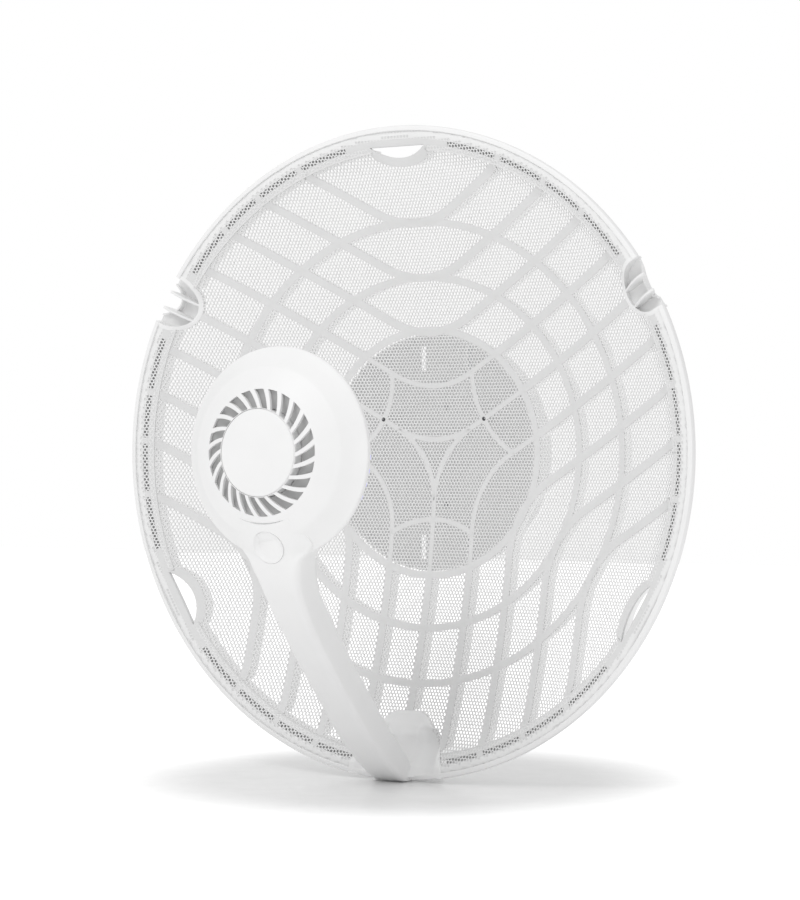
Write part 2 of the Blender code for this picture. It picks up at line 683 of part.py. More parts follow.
def light_rod(name, number, radius):
    """Light pipe through the rear shell's right side."""
    angle = math.radians(-2.4 - 7.6 * number)
    bm = bmesh.new()
    turn = Matrix.Rotation(angle, 4, 'Z') @ Matrix.Translation((0.0589, 0.0, 0.1775))
    bmesh.ops.create_cone(bm, cap_ends=True, segments=8, radius1=radius, radius2=radius, depth=0.0042,
                          matrix=turn @ Matrix.Rotation(math.radians(90.0), 4, 'Y'))
    mesh = bpy.data.meshes.new(name)
    bm.to_mesh(mesh)
    bm.free()
    return place(name, mesh, HEAD)


def make_head_inside():
    cut_line = -0.0330
    board = prism("main_board", [flat_disc(0.0435, cut_line)], BOARD_LEVEL, BOARD_LEVEL + 0.0016, HEAD)
    finish_part(board, BOARD)
    front = BOARD_LEVEL + 0.0016 + GAP
    can = box("shield_can", (-0.0160, -0.0160, front), (0.0160, 0.0160, front + 0.0100), HEAD)
    finish_part(can, STEEL)
    pad = box("thermal_pad", (-0.0150, -0.0150, front + 0.0104), (0.0150, 0.0150, SINK_LEVEL - GAP), HEAD)
    finish_part(pad, DARK_GREY)
    antenna = box("positioning_antenna", (-0.0090, 0.0220, front), (0.0090, 0.0400, front + 0.0045), HEAD)
    finish_part(antenna, CERAMIC)
    module = box("antenna_module", (-0.0170, -0.0170, BOARD_LEVEL - 0.0064),
                 (0.0170, 0.0170, BOARD_LEVEL - GAP), HEAD)
    finish_part(module, CERAMIC)

    socket = box("network_socket", (-0.0080, -0.0440, front), (0.0080, -0.0210, front + 0.0133), HEAD)
    cut(socket, box("socket_mouth_tool", (-0.0059, -0.05, front + 0.0020), (0.0059, -0.0260, front + 0.0105), HEAD))
    finish_part(socket, STEEL)

    sink = turned("heat_sink", [(0.0, SINK_LEVEL + 0.003), (0.0564, SINK_LEVEL + 0.003),
                                (0.0564, SINK_LEVEL), (0.0, SINK_LEVEL)], HEAD, steps=36)
    for number in range(9):
        x = -0.0360 + 0.0090 * number
        reach = math.sqrt(0.0400 ** 2 - x ** 2) if abs(x) < 0.0400 else 0.010
        low = (x - 0.0008, -reach, SINK_LEVEL + 0.002)
        high = (x + 0.0008, reach, 0.1895)
        add(sink, box("fin_tool", low, high, HEAD))
    holes = [(x, y, 0.17, 0.19) for x, y in head_screw_spots()]
    cut(sink, rods("sink_hole_tool", 0.0012, holes, HEAD, segments=8))
    finish_part(sink, CAST)

    seal = [(0.0508, SINK_LEVEL - GAP), (0.0526, SINK_LEVEL - GAP), (0.0526, 0.1739), (0.0508, 0.1739)]
    finish_part(turned("seal_ring", seal, HEAD, closed=True, steps=36), RUBBER)

    cup = [(0.0, 0.1312), (0.0120, 0.1340), (0.0185, 0.1420), (0.0185, 0.1500)]
    outside = [(0.0215, 0.1500), (LENS_RADIUS + 0.0030, 0.1470),
               (LENS_RADIUS + 0.0030, HEAD_BACK + HEAD_SHELL + GAP), (LENS_RADIUS, HEAD_BACK + HEAD_SHELL + GAP),
               (LENS_RADIUS, 0.1385), (0.0165, 0.1330), (0.0090, 0.1298), (0.0, 0.1288)]
    finish_part(turned("feed_lens", cup + outside, HEAD, steps=36), LENS)

    top = SINK_LEVEL + 0.0030 + GAP
    profile = headed(0.0020, top + 0.0018, top, 0.1710, 0.0008)
    make_screws("head_screw", head_screw_spots(), profile, HEAD)


def flat_disc(radius, cut_line):
    """Disc outline with a straight lower edge."""
    low = math.degrees(math.asin(cut_line / radius))
    return arc((0.0, 0.0), radius, low, 180.0 - low, 25)


# ---- arm

ARM_PATH = ((-0.0596, 0.1915, 0.0204), (-0.0660, 0.1892, 0.0175), (-0.0740, 0.1854, 0.0142),
            (-0.0850, 0.1785, 0.0120), (-0.0970, 0.1700, 0.0113), (-0.1100, 0.1600, 0.0113),
            (-0.1320, 0.1410, 0.0113), (-0.1530, 0.1215, 0.0113), (-0.1750, 0.1005, 0.0115),
            (-0.1900, 0.0835, 0.0118), (-0.2030, 0.0615, 0.0115))


def arm_front(height):
    """Front level and half width of the arm at a height."""
    for (y0, z0, w0), (y1, z1, w1) in zip(ARM_PATH, ARM_PATH[1:]):
        if height >= y1:
            part = (y0 - height) / (y0 - y1)
            return z0 + (z1 - z0) * part, w0 + (w1 - w0) * part
    return ARM_PATH[-1][1:]


def make_arm_cover():
    sections = [(y, half, front, front - ARM_DEPTH) for y, front, half in ARM_PATH]
    cover = channel("arm_cover", sections, ARM_WALL, 0.0022, ARM)
    tongue = []
    for height, half, front, back in ((-0.0385, 0.0176, 0.1975, 0.1935), (-0.0500, 0.0212, 0.1945, 0.1870),
                                      (-0.0575, 0.0210, 0.1923, 0.1860), (-0.0612, 0.0192, 0.1908, 0.1850)):
        outline = [(half, back), (half, front - 0.002), (half - 0.002, front)]
        outline += [(-x, z) for x, z in reversed(outline)]
        tongue.append([(x, height, z) for x, z in outline])
    add(cover, loft("arm_tongue_tool", tongue, ARM))
    cut(cover, rods("tongue_arc_tool", TONGUE_TOP_RADIUS, [(0.0, 0.0, 0.17, 0.21)], ARM, segments=48))
    cut(cover, button_rod("button_hole_tool", BUTTON_RADIUS + GAP, -0.013, 0.010, 30))
    cut(cover, foot_clearance("cover_foot_tool"))
    finish_part(cover, WHITE)


def button_rod(name, radius, low, high, segments):
    """Cylinder along the button's axis; its zero is on the arm's face."""
    bm = bmesh.new()
    middle = Matrix.Translation((0.0, 0.0, (low + high) / 2))
    bmesh.ops.create_cone(bm, cap_ends=True, segments=segments, radius1=radius, radius2=radius,
                          depth=high - low, matrix=middle)
    mesh = bpy.data.meshes.new(name)
    bm.to_mesh(mesh)
    bm.free()
    return place(name, mesh, ARM, BUTTON_FACE, (BUTTON_TILT, 0.0, 0.0))


BUTTON_FACE = (0.0, BUTTON_HEIGHT, 0.1926)
OUTLET_HEIGHT = -0.1978
FOOT_SCREWS = ((-0.0125, -0.1730), (0.0125, -0.1730))


def make_button_and_latch():
    profile = [(0.0, -0.0026), (0.0045, -0.0020), (0.0078, -0.0006), (0.0086, 0.0002), (BUTTON_RADIUS, 0.0),
               (BUTTON_RADIUS, -0.0050), (0.0, -0.0050)]
    button = turned("release_button", profile, ARM, steps=32, location=BUTTON_FACE,
                    rotation=(BUTTON_TILT, 0.0, 0.0))
    finish_part(button, WHITE)
    latch = box("cover_latch", (-0.0070, -0.0680, 0.1804), (0.0070, -0.0475, 0.1826), ARM)
    add(latch, box("latch_tab_tool", (-0.0030, -0.0680, 0.1722), (0.0030, -0.0664, 0.1815), ARM))
    finish_part(latch, LIGHT_GREY)
    turns = 5
    per_turn = 10
    points = []
    for i in range(turns * per_turn + 1):
        angle = 2 * math.pi * i / per_turn
        rise = 0.0100 * i / (turns * per_turn)
        points.append((0.0024 * math.cos(angle), -0.0788 + rise, 0.1748 + 0.0024 * math.sin(angle)))
    finish_part(tube("latch_spring", points, 0.0003, ARM), STEEL)


def make_arm_spine():
    """Channel open to the front, inside the cover."""
    rings = []
    for height in [SPINE_TOP] + [station[0] for station in ARM_PATH[1:]]:
        front, half = arm_front(height)
        back = front - ARM_DEPTH
        lip = back + 0.0150
        side = half - ARM_WALL - GAP
        inner = side - 0.0020
        floor = back + 0.0027
        half_ring = [(side, lip), (side, back), (-side, back), (-side, lip)]
        half_ring += [(-inner, lip), (-inner, floor), (inner, floor), (inner, lip)]
        rings.append([(x, height, z) for x, z in half_ring])
    spine = loft("arm_spine", rings, ARM)
    holes = [(x, -0.0665, 0.15, 0.18) for x in (-0.0085, 0.0085)]
    cut(spine, rods("spine_hole_tool", 0.0013, holes, ARM, segments=8))
    add(spine, box("spring_seat_tool", (-0.0095, -0.0815, 0.1668), (0.0095, -0.0796, 0.1770), ARM))
    cut(spine, foot_block("spine_foot_tool", GAP))
    cut(spine, foot_clearance("spine_clearance_tool"))
    finish_part(spine, LIGHT_GREY)

    back = arm_front(-0.0665)[0] - ARM_DEPTH
    profile = headed(0.0026, 0.1745, back - 0.0015, back - 0.0036, -0.0006)
    make_screws("neck_screw", [(-0.0085, -0.0665), (0.0085, -0.0665)], profile, ARM)


def foot_clearance(name):
    """Space kept free for the foot's plate and the dish behind it."""
    band = dish_band(0.1500, 0.2200, FOOT_PLATE + GAP, -0.0250, 4)
    return turned(name, band, DISH, closed=True)


def foot_block(name, margin):
    """Stub of the foot that stands inside the arm's lower end."""
    low = (-0.0070 - margin, -0.1985 - margin, 0.0440)
    high = (0.0070 + margin, -0.1800 + margin, 0.0640 + margin)
    return box(name, low, high, ARM)


def make_arm_foot():
    inner = 0.1640
    outer = 0.2028
    band = dish_band(inner, outer, FOOT_PLATE, GAP + 0.0002, 4)
    foot = turned("arm_foot", band, DISH, closed=True)
    outline = arc((0.0, -0.1860), 0.0210, 20.0, 160.0, 9) + [(-0.0290, -0.2100), (0.0290, -0.2100)]
    combine(foot, prism("foot_outline_tool", [outline], 0.0, 0.1, DISH), 'INTERSECT')
    cut(foot, rim_guard("rim_guard_tool"))
    block = foot_block("foot_block_tool", 0.0)
    add(foot, block)
    add(foot, box("plug_tool", (-0.0070, -0.2025, 0.0312), (0.0070, -0.1932, 0.0480), DISH))
    cut(foot, rods("outlet_hole_tool", 0.0036, [(0.0, OUTLET_HEIGHT, 0.02, 0.07)], DISH, segments=16))
    cut(foot, rods("foot_hole_tool", 0.0015, [(x, y, 0.03, 0.0385) for x, y in FOOT_SCREWS], DISH, segments=8))
    finish_part(foot, WHITE)

    outlet = [(0.0032, 0.0308), (0.0052, 0.0308), (0.0052, 0.0286), (0.0032, 0.0286)]
    finish_part(turned("cable_outlet", outlet, DISH, closed=True, steps=24,
                       location=(0.0, OUTLET_HEIGHT, 0.0)), RUBBER)
    make_screws("foot_screw", FOOT_SCREWS, headed(0.0026, 0.0375, 0.0318, 0.0300, -0.0010), DISH)


def rim_guard(name):
    """Space kept free for the rim's lip."""
    profile = [(LIP_INNER_RADIUS - GAP, 0.0600), (0.2200, 0.0600), (0.2200, 0.0300), (LIP_INNER_RADIUS - GAP, 0.0300)]
    return turned(name, profile, DISH, closed=True, steps=72)


clear_scene()
PARTS = new_collection("outdoor_wireless_bridge")
CUTTERS = new_collection("cutters")
FORWARD = (math.radians(90.0), 0.0, 0.0)
PIVOT = (0.0, PIVOT_BEHIND - VERTEX_TO_POLE, PIVOT_HEIGHT)
POLE = frame_empty("pole_frame", (0.0, -VERTEX_TO_POLE, 0.0), FORWARD)
TILT = frame_empty("tilt_pivot", PIVOT)
DISH = frame_empty("dish_frame", (0.0, -PIVOT_BEHIND, -PIVOT_HEIGHT), FORWARD, TILT)
HEAD = frame_empty("head_frame", (0.0, 0.0, 0.0), parent=DISH)
ARM = frame_empty("arm_frame", (0.0, 0.0, 0.0), parent=DISH)

make_dish_skin()
make_rim_ring()
make_rib_lattice()
make_hub()
make_socket("socket_right", 30.0, 0.0460)
make_socket("socket_left", 150.0, 0.0460)
make_socket("socket_bottom", 270.0, LIP_BACK - GAP)
make_tilt_bracket()
make_pole_saddle()
make_cross_bolt("pivot", PIVOT_HEIGHT, POLE)
make_cross_bolt("lock", PIVOT_HEIGHT + LOCK_REACH, DISH)
make_head_front()
make_head_rear()
make_head_inside()
make_arm_cover()
make_button_and_latch()
make_arm_spine()
make_arm_foot()
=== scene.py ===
import json
import math

import bpy
import numpy as np
from mathutils import Matrix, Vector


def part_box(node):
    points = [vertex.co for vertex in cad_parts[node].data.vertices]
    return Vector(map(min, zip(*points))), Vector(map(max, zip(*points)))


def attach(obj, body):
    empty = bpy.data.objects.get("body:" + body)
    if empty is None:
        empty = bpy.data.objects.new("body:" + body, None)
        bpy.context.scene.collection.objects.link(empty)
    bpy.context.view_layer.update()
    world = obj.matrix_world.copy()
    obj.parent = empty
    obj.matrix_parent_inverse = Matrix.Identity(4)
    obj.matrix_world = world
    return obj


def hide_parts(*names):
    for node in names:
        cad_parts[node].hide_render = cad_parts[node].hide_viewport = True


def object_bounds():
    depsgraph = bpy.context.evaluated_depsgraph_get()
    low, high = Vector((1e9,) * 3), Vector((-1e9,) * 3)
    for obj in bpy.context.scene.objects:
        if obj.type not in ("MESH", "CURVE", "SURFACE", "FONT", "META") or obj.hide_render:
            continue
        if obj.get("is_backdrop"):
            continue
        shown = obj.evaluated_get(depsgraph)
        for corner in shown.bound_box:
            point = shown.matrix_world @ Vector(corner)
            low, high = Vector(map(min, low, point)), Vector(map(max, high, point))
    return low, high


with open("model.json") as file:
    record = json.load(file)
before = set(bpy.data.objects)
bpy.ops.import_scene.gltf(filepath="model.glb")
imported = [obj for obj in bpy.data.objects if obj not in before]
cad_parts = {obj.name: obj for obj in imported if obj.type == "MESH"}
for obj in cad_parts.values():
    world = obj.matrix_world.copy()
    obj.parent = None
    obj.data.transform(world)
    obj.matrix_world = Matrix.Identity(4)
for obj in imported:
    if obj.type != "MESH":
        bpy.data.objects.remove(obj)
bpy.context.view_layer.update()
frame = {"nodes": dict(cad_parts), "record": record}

# ---- the frame's own sizes, in metres; shapes are made in the dish's frame: x to the right,
# y up, z forward from the vertex
SKIN_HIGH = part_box("dish_skin")[1]
RIM_LOW, RIM_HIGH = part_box("rim_ring")
SKIN_THICK = 0.0020
VERTEX_Y = SKIN_HIGH[1] - SKIN_THICK
RIM = (RIM_HIGH[0] - RIM_LOW[0]) / 2
LIP_FRONT = VERTEX_Y - RIM_LOW[1]
LIP_BACK = VERTEX_Y - RIM_HIGH[1]
FOCAL_LENGTH = 0.2100
MM = 0.001
DISH = Matrix.Translation((0.0, VERTEX_Y, 0.0)) @ Matrix.Rotation(math.radians(90.0), 4, 'X')

# ---- perforation and lattice
HOLE_PITCH = 2.3 * MM
HOLE_RADIUS = 0.95 * MM
SHEET = 0.8 * MM
GRID_RADIUS = 0.2030
GRID_SECTORS = 8
SKIN_GAP = 0.8 * MM
SLOT_SOLID = 2.0 * MM
EDGE_SOLID = 1.6 * MM
UNDER_FOOT = 1.6 * MM
PLATE_RISE = 0.08 * MM
PLATE_SINK = SHEET * 0.9
RIB_PITCH = 0.145 * RIM
BEND_RADIUS = 0.27 * RIM
RINGS = (0.545 * RIM, 0.714 * RIM)
HUB = 0.372 * RIM
HUB_BAND = 0.394 * RIM
STRIP_HALF = 2.6 * MM
RING_HALF = 2.3 * MM
HUB_STRIP_HALF = 1.6 * MM
CELLS_END = 0.1912
EDGE_STRIP = 0.1930
EDGE_STRIP_HALF = 1.9 * MM
LIP_STRIP = 0.2006
LIP_STRIP_HALF = 2.8 * MM
DASHES = (0.1949, 0.1978)
# stretches of open cells between the bands, in degrees from the nearest slot's middle
DASH_SPANS = ((11.1, 21.2), (22.7, 31.7), (33.2, 41.2), (42.6, 52.6))
RIB_TOP = SHEET * 0.6
RIB_HEIGHT = 12.5 * MM
RIB_HALF = 1.0 * MM
EDGE_RIB_HALF = 0.7 * MM

# ---- rim details
RIM_START = 0.1840
RIM_FULL = 0.1945
RIM_RISE = 3.0 * MM
LIP_CLEAR = 1.0 * MM
LIP_WIDTH = 3.4 * MM
SLOT_HALF = 0.0985 * RIM
SLOT_OUTER = 0.938 * RIM
SLOT_INNER = 0.9055 * RIM
SLOT_BORDER = 5.6 * MM
SLOT_RIM = 2.2 * MM
SLOT_DEPTH = 2.6 * MM
NOTCH_RADIUS = 16.4 * MM
NOTCH_CENTRE = 0.2008
NOTCH_BORDER = 2.6 * MM
NOTCH_FLOOR = 0.0370
NOTCH_FLOOR_RISE = 9.0 * MM
POCKET_END = 0.2052
POCKET_FLOOR_END = 0.2046
FIN_SIDE = 5.8 * MM
NOTCHES = (30.0, 150.0, 270.0)
OPEN_NOTCHES = (30.0, 150.0)
# degrees round the rim
CHANNEL_SPANS = ((36.5, 81.5), (98.5, 143.5), (156.5, 201.5), (218.5, 260.4), (279.6, 321.5), (338.5, 383.5))

# ---- foot plate: its top, and its outline as distance below the middle and half width, in mm
FOOT_TOP = -0.1642
FOOT_OUTLINE = ((164.2, 6.0), (164.6, 9.5), (166.0, 13.0), (169.0, 16.2), (173.0, 19.6), (178.0, 24.6),
                (183.0, 28.0), (188.0, 30.2), (196.0, 33.2), (204.0, 35.0))

# ---- head
HEAD_EDGE = 0.1822
HEAD_RADIUS = 62.6 * MM
CAP_RADIUS = 25.8 * MM
VENT_INNER = 26.2 * MM
VENT_OUTER = 37.3 * MM
VENTS = 24
COLUMNS_PER_VENT = 12
OPEN_COLUMNS = 8
VENT_LEAN = math.radians(12.5)
PARTING = 0.75 * MM

# ---- arm
ARM_WALL = 2.0 * MM

# ---- camera: level, to the front right
CAMERA_AZIMUTH = math.radians(31.3)
CAMERA_DISTANCE = 8.0 * RIM
CAMERA_LENS = 104.7
CAMERA_SHIFT = (0.0061, 0.0030)

# ---- light: distances towards the camera, right and up from the dish, size and power
LIGHTS = (("key", 1.25, -1.05, 1.6, 0.9, 12.5), ("fill", 1.6, 0.5, 0.2, 1.4, 2.4),
          ("top", -0.2, 0.0, 1.6, 1.4, 2.0))
WORLD_LIGHT = 0.76
FLOOR_REACH = 3.0
FLOOR_DROP = 0.4 * MM
GLOW = 0.60
GLOW_AS_LIGHT = 0.45
# Inside these distances from the floor's middle the glow fades out: a painted shadow pool under the dish.
PAINTED_SHADOW_CORE = 0.11
PAINTED_SHADOW_REACH = 0.25


# ---- materials

def plastic(name, colour, roughness=0.5, grain=1400.0, bump=0.04, spread=0.012, metallic=0.0):
    """Moulded surface: faint mottling in colour and roughness, and a fine moulded grain."""
    material = bpy.data.materials.new(name)
    material.use_nodes = True
    nodes = material.node_tree.nodes
    links = material.node_tree.links
    shader = nodes["Principled BSDF"]
    shader.inputs["Metallic"].default_value = metallic
    place = nodes.new('ShaderNodeTexCoord')
    mottle = nodes.new('ShaderNodeTexNoise')
    mottle.inputs["Scale"].default_value = 38.0
    mottle.inputs["Detail"].default_value = 3.0
    links.new(place.outputs["Object"], mottle.inputs["Vector"])
    ramp = nodes.new('ShaderNodeValToRGB')
    low = [max(0.0, c * (1.0 - spread)) for c in colour]
    high = [min(1.0, c * (1.0 + spread)) for c in colour]
    ramp.color_ramp.elements[0].position = 0.30
    ramp.color_ramp.elements[1].position = 0.70
    ramp.color_ramp.elements[0].color = (*low, 1.0)
    ramp.color_ramp.elements[1].color = (*high, 1.0)
    links.new(mottle.outputs["Fac"], ramp.inputs["Fac"])
    links.new(ramp.outputs["Color"], shader.inputs["Base Color"])
    rough = nodes.new('ShaderNodeMapRange')
    rough.inputs["To Min"].default_value = roughness - 0.05
    rough.inputs["To Max"].default_value = roughness + 0.05
    links.new(mottle.outputs["Fac"], rough.inputs["Value"])
    links.new(rough.outputs["Result"], shader.inputs["Roughness"])
    fine = nodes.new('ShaderNodeTexNoise')
    fine.inputs["Scale"].default_value = grain
    fine.inputs["Detail"].default_value = 2.0
    links.new(place.outputs["Object"], fine.inputs["Vector"])
    relief = nodes.new('ShaderNodeBump')
    relief.inputs["Strength"].default_value = bump
    relief.inputs["Distance"].default_value = 0.0002
    links.new(fine.outputs["Fac"], relief.inputs["Height"])
    links.new(relief.outputs["Normal"], shader.inputs["Normal"])
    return material


WHITE = plastic("white_moulding", (0.82, 0.82, 0.82), 0.48)
SKIN_WHITE = plastic("skin_moulding", (0.79, 0.79, 0.79), 0.55)
HUB_GREY = plastic("hub_grey", (0.62, 0.62, 0.62), 0.6)
# Grey of the closed channel behind the dashes: painted shade for the inside of the channel.
CHANNEL_PAINTED_SHADE = plastic("channel_painted_shade", (0.55, 0.55, 0.55), 0.8)
VENT_GREY = plastic("vent_grey", (0.52, 0.52, 0.52), 0.7)
DARK = plastic("dark_plastic", (0.05, 0.05, 0.055), 0.6)
RUBBER = plastic("rubber_black", (0.03, 0.03, 0.03), 0.85, grain=900.0, bump=0.12)
CAST = plastic("cast_alloy", (0.52, 0.53, 0.54), 0.48, grain=1100.0, bump=0.18, spread=0.05, metallic=0.9)
STEEL = plastic("zinc_steel", (0.62, 0.63, 0.65), 0.30, grain=2200.0, bump=0.06, spread=0.06, metallic=1.0)
BOARD = plastic("solder_mask", (0.02, 0.16, 0.07), 0.45, grain=1600.0, bump=0.05, spread=0.10)
CERAMIC = plastic("ceramic_tan", (0.66, 0.58, 0.44), 0.65, grain=800.0, bump=0.10, spread=0.05)
LENS_WHITE = plastic("lens_white", (0.80, 0.80, 0.78), 0.35)


def lit_pipe(name):
    material = plastic(name, (0.50, 0.50, 0.86), 0.3)
    shader = material.node_tree.nodes["Principled BSDF"]
    shader.inputs["Emission Color"].default_value = (0.55, 0.55, 1.0, 1.0)
    shader.inputs["Emission Strength"].default_value = 0.35
    return material


LIGHT_BLUE = lit_pipe("status_blue")


def paint_glow_light(material, strength):
    """Gives a moulding a faint glow of its own: painted light that brightens walls lying in shade, in part
    for the light that thin plastic lets through.
    """
    shader = material.node_tree.nodes["Principled BSDF"]
    shader.inputs["Emission Color"].default_value = (1.0, 1.0, 1.0, 1.0)
    shader.inputs["Emission Strength"].default_value = strength
    return material


# Darker copy of the skin's white moulding for the strips and slot borders: painted shade.
STRIP_SHADED_WHITE = plastic("strip_moulding_painted_shade", (0.70, 0.70, 0.70), 0.55)
# The ribs, the hub cup and the channel glow below: painted light that brightens them where they lie in shade
# behind the skin.
RIB_WHITE = paint_glow_light(plastic("rib_moulding", (0.74, 0.74, 0.74), 0.6), 0.20)
paint_glow_light(HUB_GREY, 0.16)
paint_glow_light(CHANNEL_PAINTED_SHADE, 0.07)

SLOT_MATERIALS = {
    "white_plastic": WHITE, "grey_plastic": HUB_GREY, "dark_plastic": DARK, "cast_alloy": CAST,
    "steel": STEEL, "rubber": RUBBER, "circuit_board": BOARD, "ceramic": CERAMIC,
    "lens_plastic": LENS_WHITE, "light_pipe": LIGHT_BLUE}


# ---- mesh helpers

def piece(name, points, faces, material, body="dish", slot="white_plastic", sharp=32.0, indices=None,
          extra=None):
    """A mesh in the dish's frame, smooth up to a given edge angle, riding on a body."""
    mesh = bpy.data.meshes.new(name)
    mesh.from_pydata([tuple(map(float, p)) for p in points], [], faces)
    mesh.materials.append(material)
    if extra is not None:
        mesh.materials.append(extra)
        mesh.polygons.foreach_set("material_index", indices)
    mesh.polygons.foreach_set("use_smooth", [True] * len(mesh.polygons))
    mesh.set_sharp_from_angle(angle=math.radians(sharp))
    mesh.validate()
    obj = bpy.data.objects.new(name, mesh)
    bpy.context.scene.collection.objects.link(obj)
    obj.matrix_world = DISH
    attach(obj, body)
    return obj


def level(radius):
    """Height of the dish's front surface, lifted a little towards the lip."""
    part = np.clip((radius - RIM_START) / (RIM_FULL - RIM_START), 0.0, 1.0)
    lifted = radius ** 2 / (4 * FOCAL_LENGTH) + RIM_RISE * part ** 2 * (3 - 2 * part)
    return np.minimum(lifted, LIP_FRONT - LIP_CLEAR)


def smooth_through(points, per_span):
    """Catmull-Rom curve through points, per_span steps for each gap."""
    p = np.asarray(points, float)
    p = np.vstack([2 * p[0] - p[1], p, 2 * p[-1] - p[-2]])
    out = []
    for i in range(1, len(p) - 2):
        for t in np.arange(per_span) / per_span:
            a = 2 * p[i]
            b = (p[i + 1] - p[i - 1]) * t
            c = (2 * p[i - 1] - 5 * p[i] + 4 * p[i + 1] - p[i + 2]) * t * t
            d = (3 * p[i] - 3 * p[i + 1] + p[i + 2] - p[i - 1]) * t * t * t
            out.append((a + b + c + d) / 2)
    out.append(p[-2])
    return np.array(out)


FOOT_CURVE = smooth_through(FOOT_OUTLINE, 8)
FOOT_HEIGHTS = FOOT_CURVE[:, 0]
FOOT_WIDTHS = FOOT_CURVE[:, 1]


def fillet(points, radius, steps=3):
    """Closed outline with each corner rounded."""
    out = []
    count = len(points)
    for i in range(count):
        before = np.asarray(points[i - 1], float)
        corner = np.asarray(points[i], float)
        after = np.asarray(points[(i + 1) % count], float)
        reach = min(radius, np.linalg.norm(before - corner) * 0.45, np.linalg.norm(after - corner) * 0.45)
        start = corner + (before - corner) / np.linalg.norm(before - corner) * reach
        end = corner + (after - corner) / np.linalg.norm(after - corner) * reach
        for k in range(steps + 1):
            t = k / steps
            out.append(tuple((1 - t) ** 2 * start + 2 * t * (1 - t) * corner + t * t * end))
    return out


def lathe(profile, segments=160, start=0.0, end=360.0):
    """A closed profile of (radius, z) turned round z, capped where it isn't a full turn."""
    full = abs(end - start) >= 359.999
    count = segments if full else segments + 1
    angles = np.radians(start + (end - start) * np.arange(count) / segments)
    n = len(profile)
    points = [(r * math.cos(a), r * math.sin(a), z) for a in angles for r, z in profile]
    faces = []
    for i in range(segments):
        j = (i + 1) % count
        for k in range(n):
            m = (k + 1) % n
            faces.append((i * n + k, i * n + m, j * n + m, j * n + k))
    if not full:
        faces.append(tuple(range(n))[::-1])
        faces.append(tuple((count - 1) * n + k for k in range(n)))
    return points, faces


def gather(parts):
    """Several (points, faces) made one."""
    points = []
    faces = []
    for more_points, more_faces in parts:
        base = len(points)
        points.extend(more_points)
        faces.extend([tuple(base + i for i in face) for face in more_faces])
    return points, faces


def loft(rings, caps=True):
    """Closed rings of equally many points joined in order."""
    n = len(rings[0])
    points = [p for ring in rings for p in ring]
    faces = []
    for i in range(len(rings) - 1):
        for k in range(n):
            m = (k + 1) % n
            faces.append((i * n + k, i * n + m, (i + 1) * n + m, (i + 1) * n + k))
    if caps:
        faces.append(tuple(range(n))[::-1])
        faces.append(tuple((len(rings) - 1) * n + k for k in range(n)))
    return points, faces


def masked_shell(front, back, solid, wrap=True):
    """A thick sheet over a grid of front and back points, open where a cell isn't solid."""
    rows, columns = front.shape[:2]
    points = np.concatenate([front.reshape(-1, 3), back.reshape(-1, 3)])
    offset = rows * columns
    spans = columns if wrap else columns - 1
    faces = []

    def corner(i, j):
        return i * columns + j % columns

    def is_solid(i, j):
        if not 0 <= i < rows - 1:
            return False
        if not wrap and not 0 <= j < spans:
            return False
        return bool(solid[i, j % spans])

    for i in range(rows - 1):
        for j in range(spans):
            if not solid[i, j]:
                continue
            a, b, c, d = corner(i, j), corner(i, j + 1), corner(i + 1, j + 1), corner(i + 1, j)
            faces.append((a, b, c, d))
            faces.append((d + offset, c + offset, b + offset, a + offset))
            edges = (((i - 1, j), a, b), ((i + 1, j), c, d), ((i, j - 1), d, a), ((i, j + 1), b, c))
            for (ni, nj), p, q in edges:
                if not is_solid(ni, nj):
                    faces.append((p, p + offset, q + offset, q))
    return points, faces


# ---- where the skin is solid and where it is cut

def turned(x, y, degrees):
    a = math.radians(degrees)
    return x * math.cos(a) + y * math.sin(a), -x * math.sin(a) + y * math.cos(a)


def slot_inner(x):
    """Inner side of the upper rim slot, bulging to the middle."""
    depth = SLOT_OUTER - SLOT_INNER
    radius = (SLOT_HALF ** 2 + depth ** 2) / (2 * depth)
    return SLOT_INNER + radius - np.sqrt(np.maximum(radius ** 2 - x ** 2, 0.0))


def near_slot(x, y, margin):
    found = np.zeros(np.shape(x), bool)
    for turn in (0.0, 120.0, 240.0):
        u, v = turned(x, y, turn)
        found |= (np.abs(u) < SLOT_HALF + margin) & (v < SLOT_OUTER + margin) & (v > slot_inner(u) - margin)
    return found


def near_notch(x, y, margin):
    found = np.zeros(np.shape(x), bool)
    for angle in NOTCHES:
        u, v = turned(x, y, angle)
        beyond = (u > NOTCH_CENTRE) & (np.abs(v) < NOTCH_RADIUS + margin)
        found |= (np.hypot(u - NOTCH_CENTRE, v) < NOTCH_RADIUS + margin) | beyond
    return found


def foot_half(y):
    """Half width of the foot plate at a height."""
    return np.interp(-y / MM, FOOT_HEIGHTS, FOOT_WIDTHS) * MM


def near_foot(x, y, margin):
    return (y < FOOT_TOP + margin) & (np.abs(x) < foot_half(y) + margin)


# ---- perforated skin

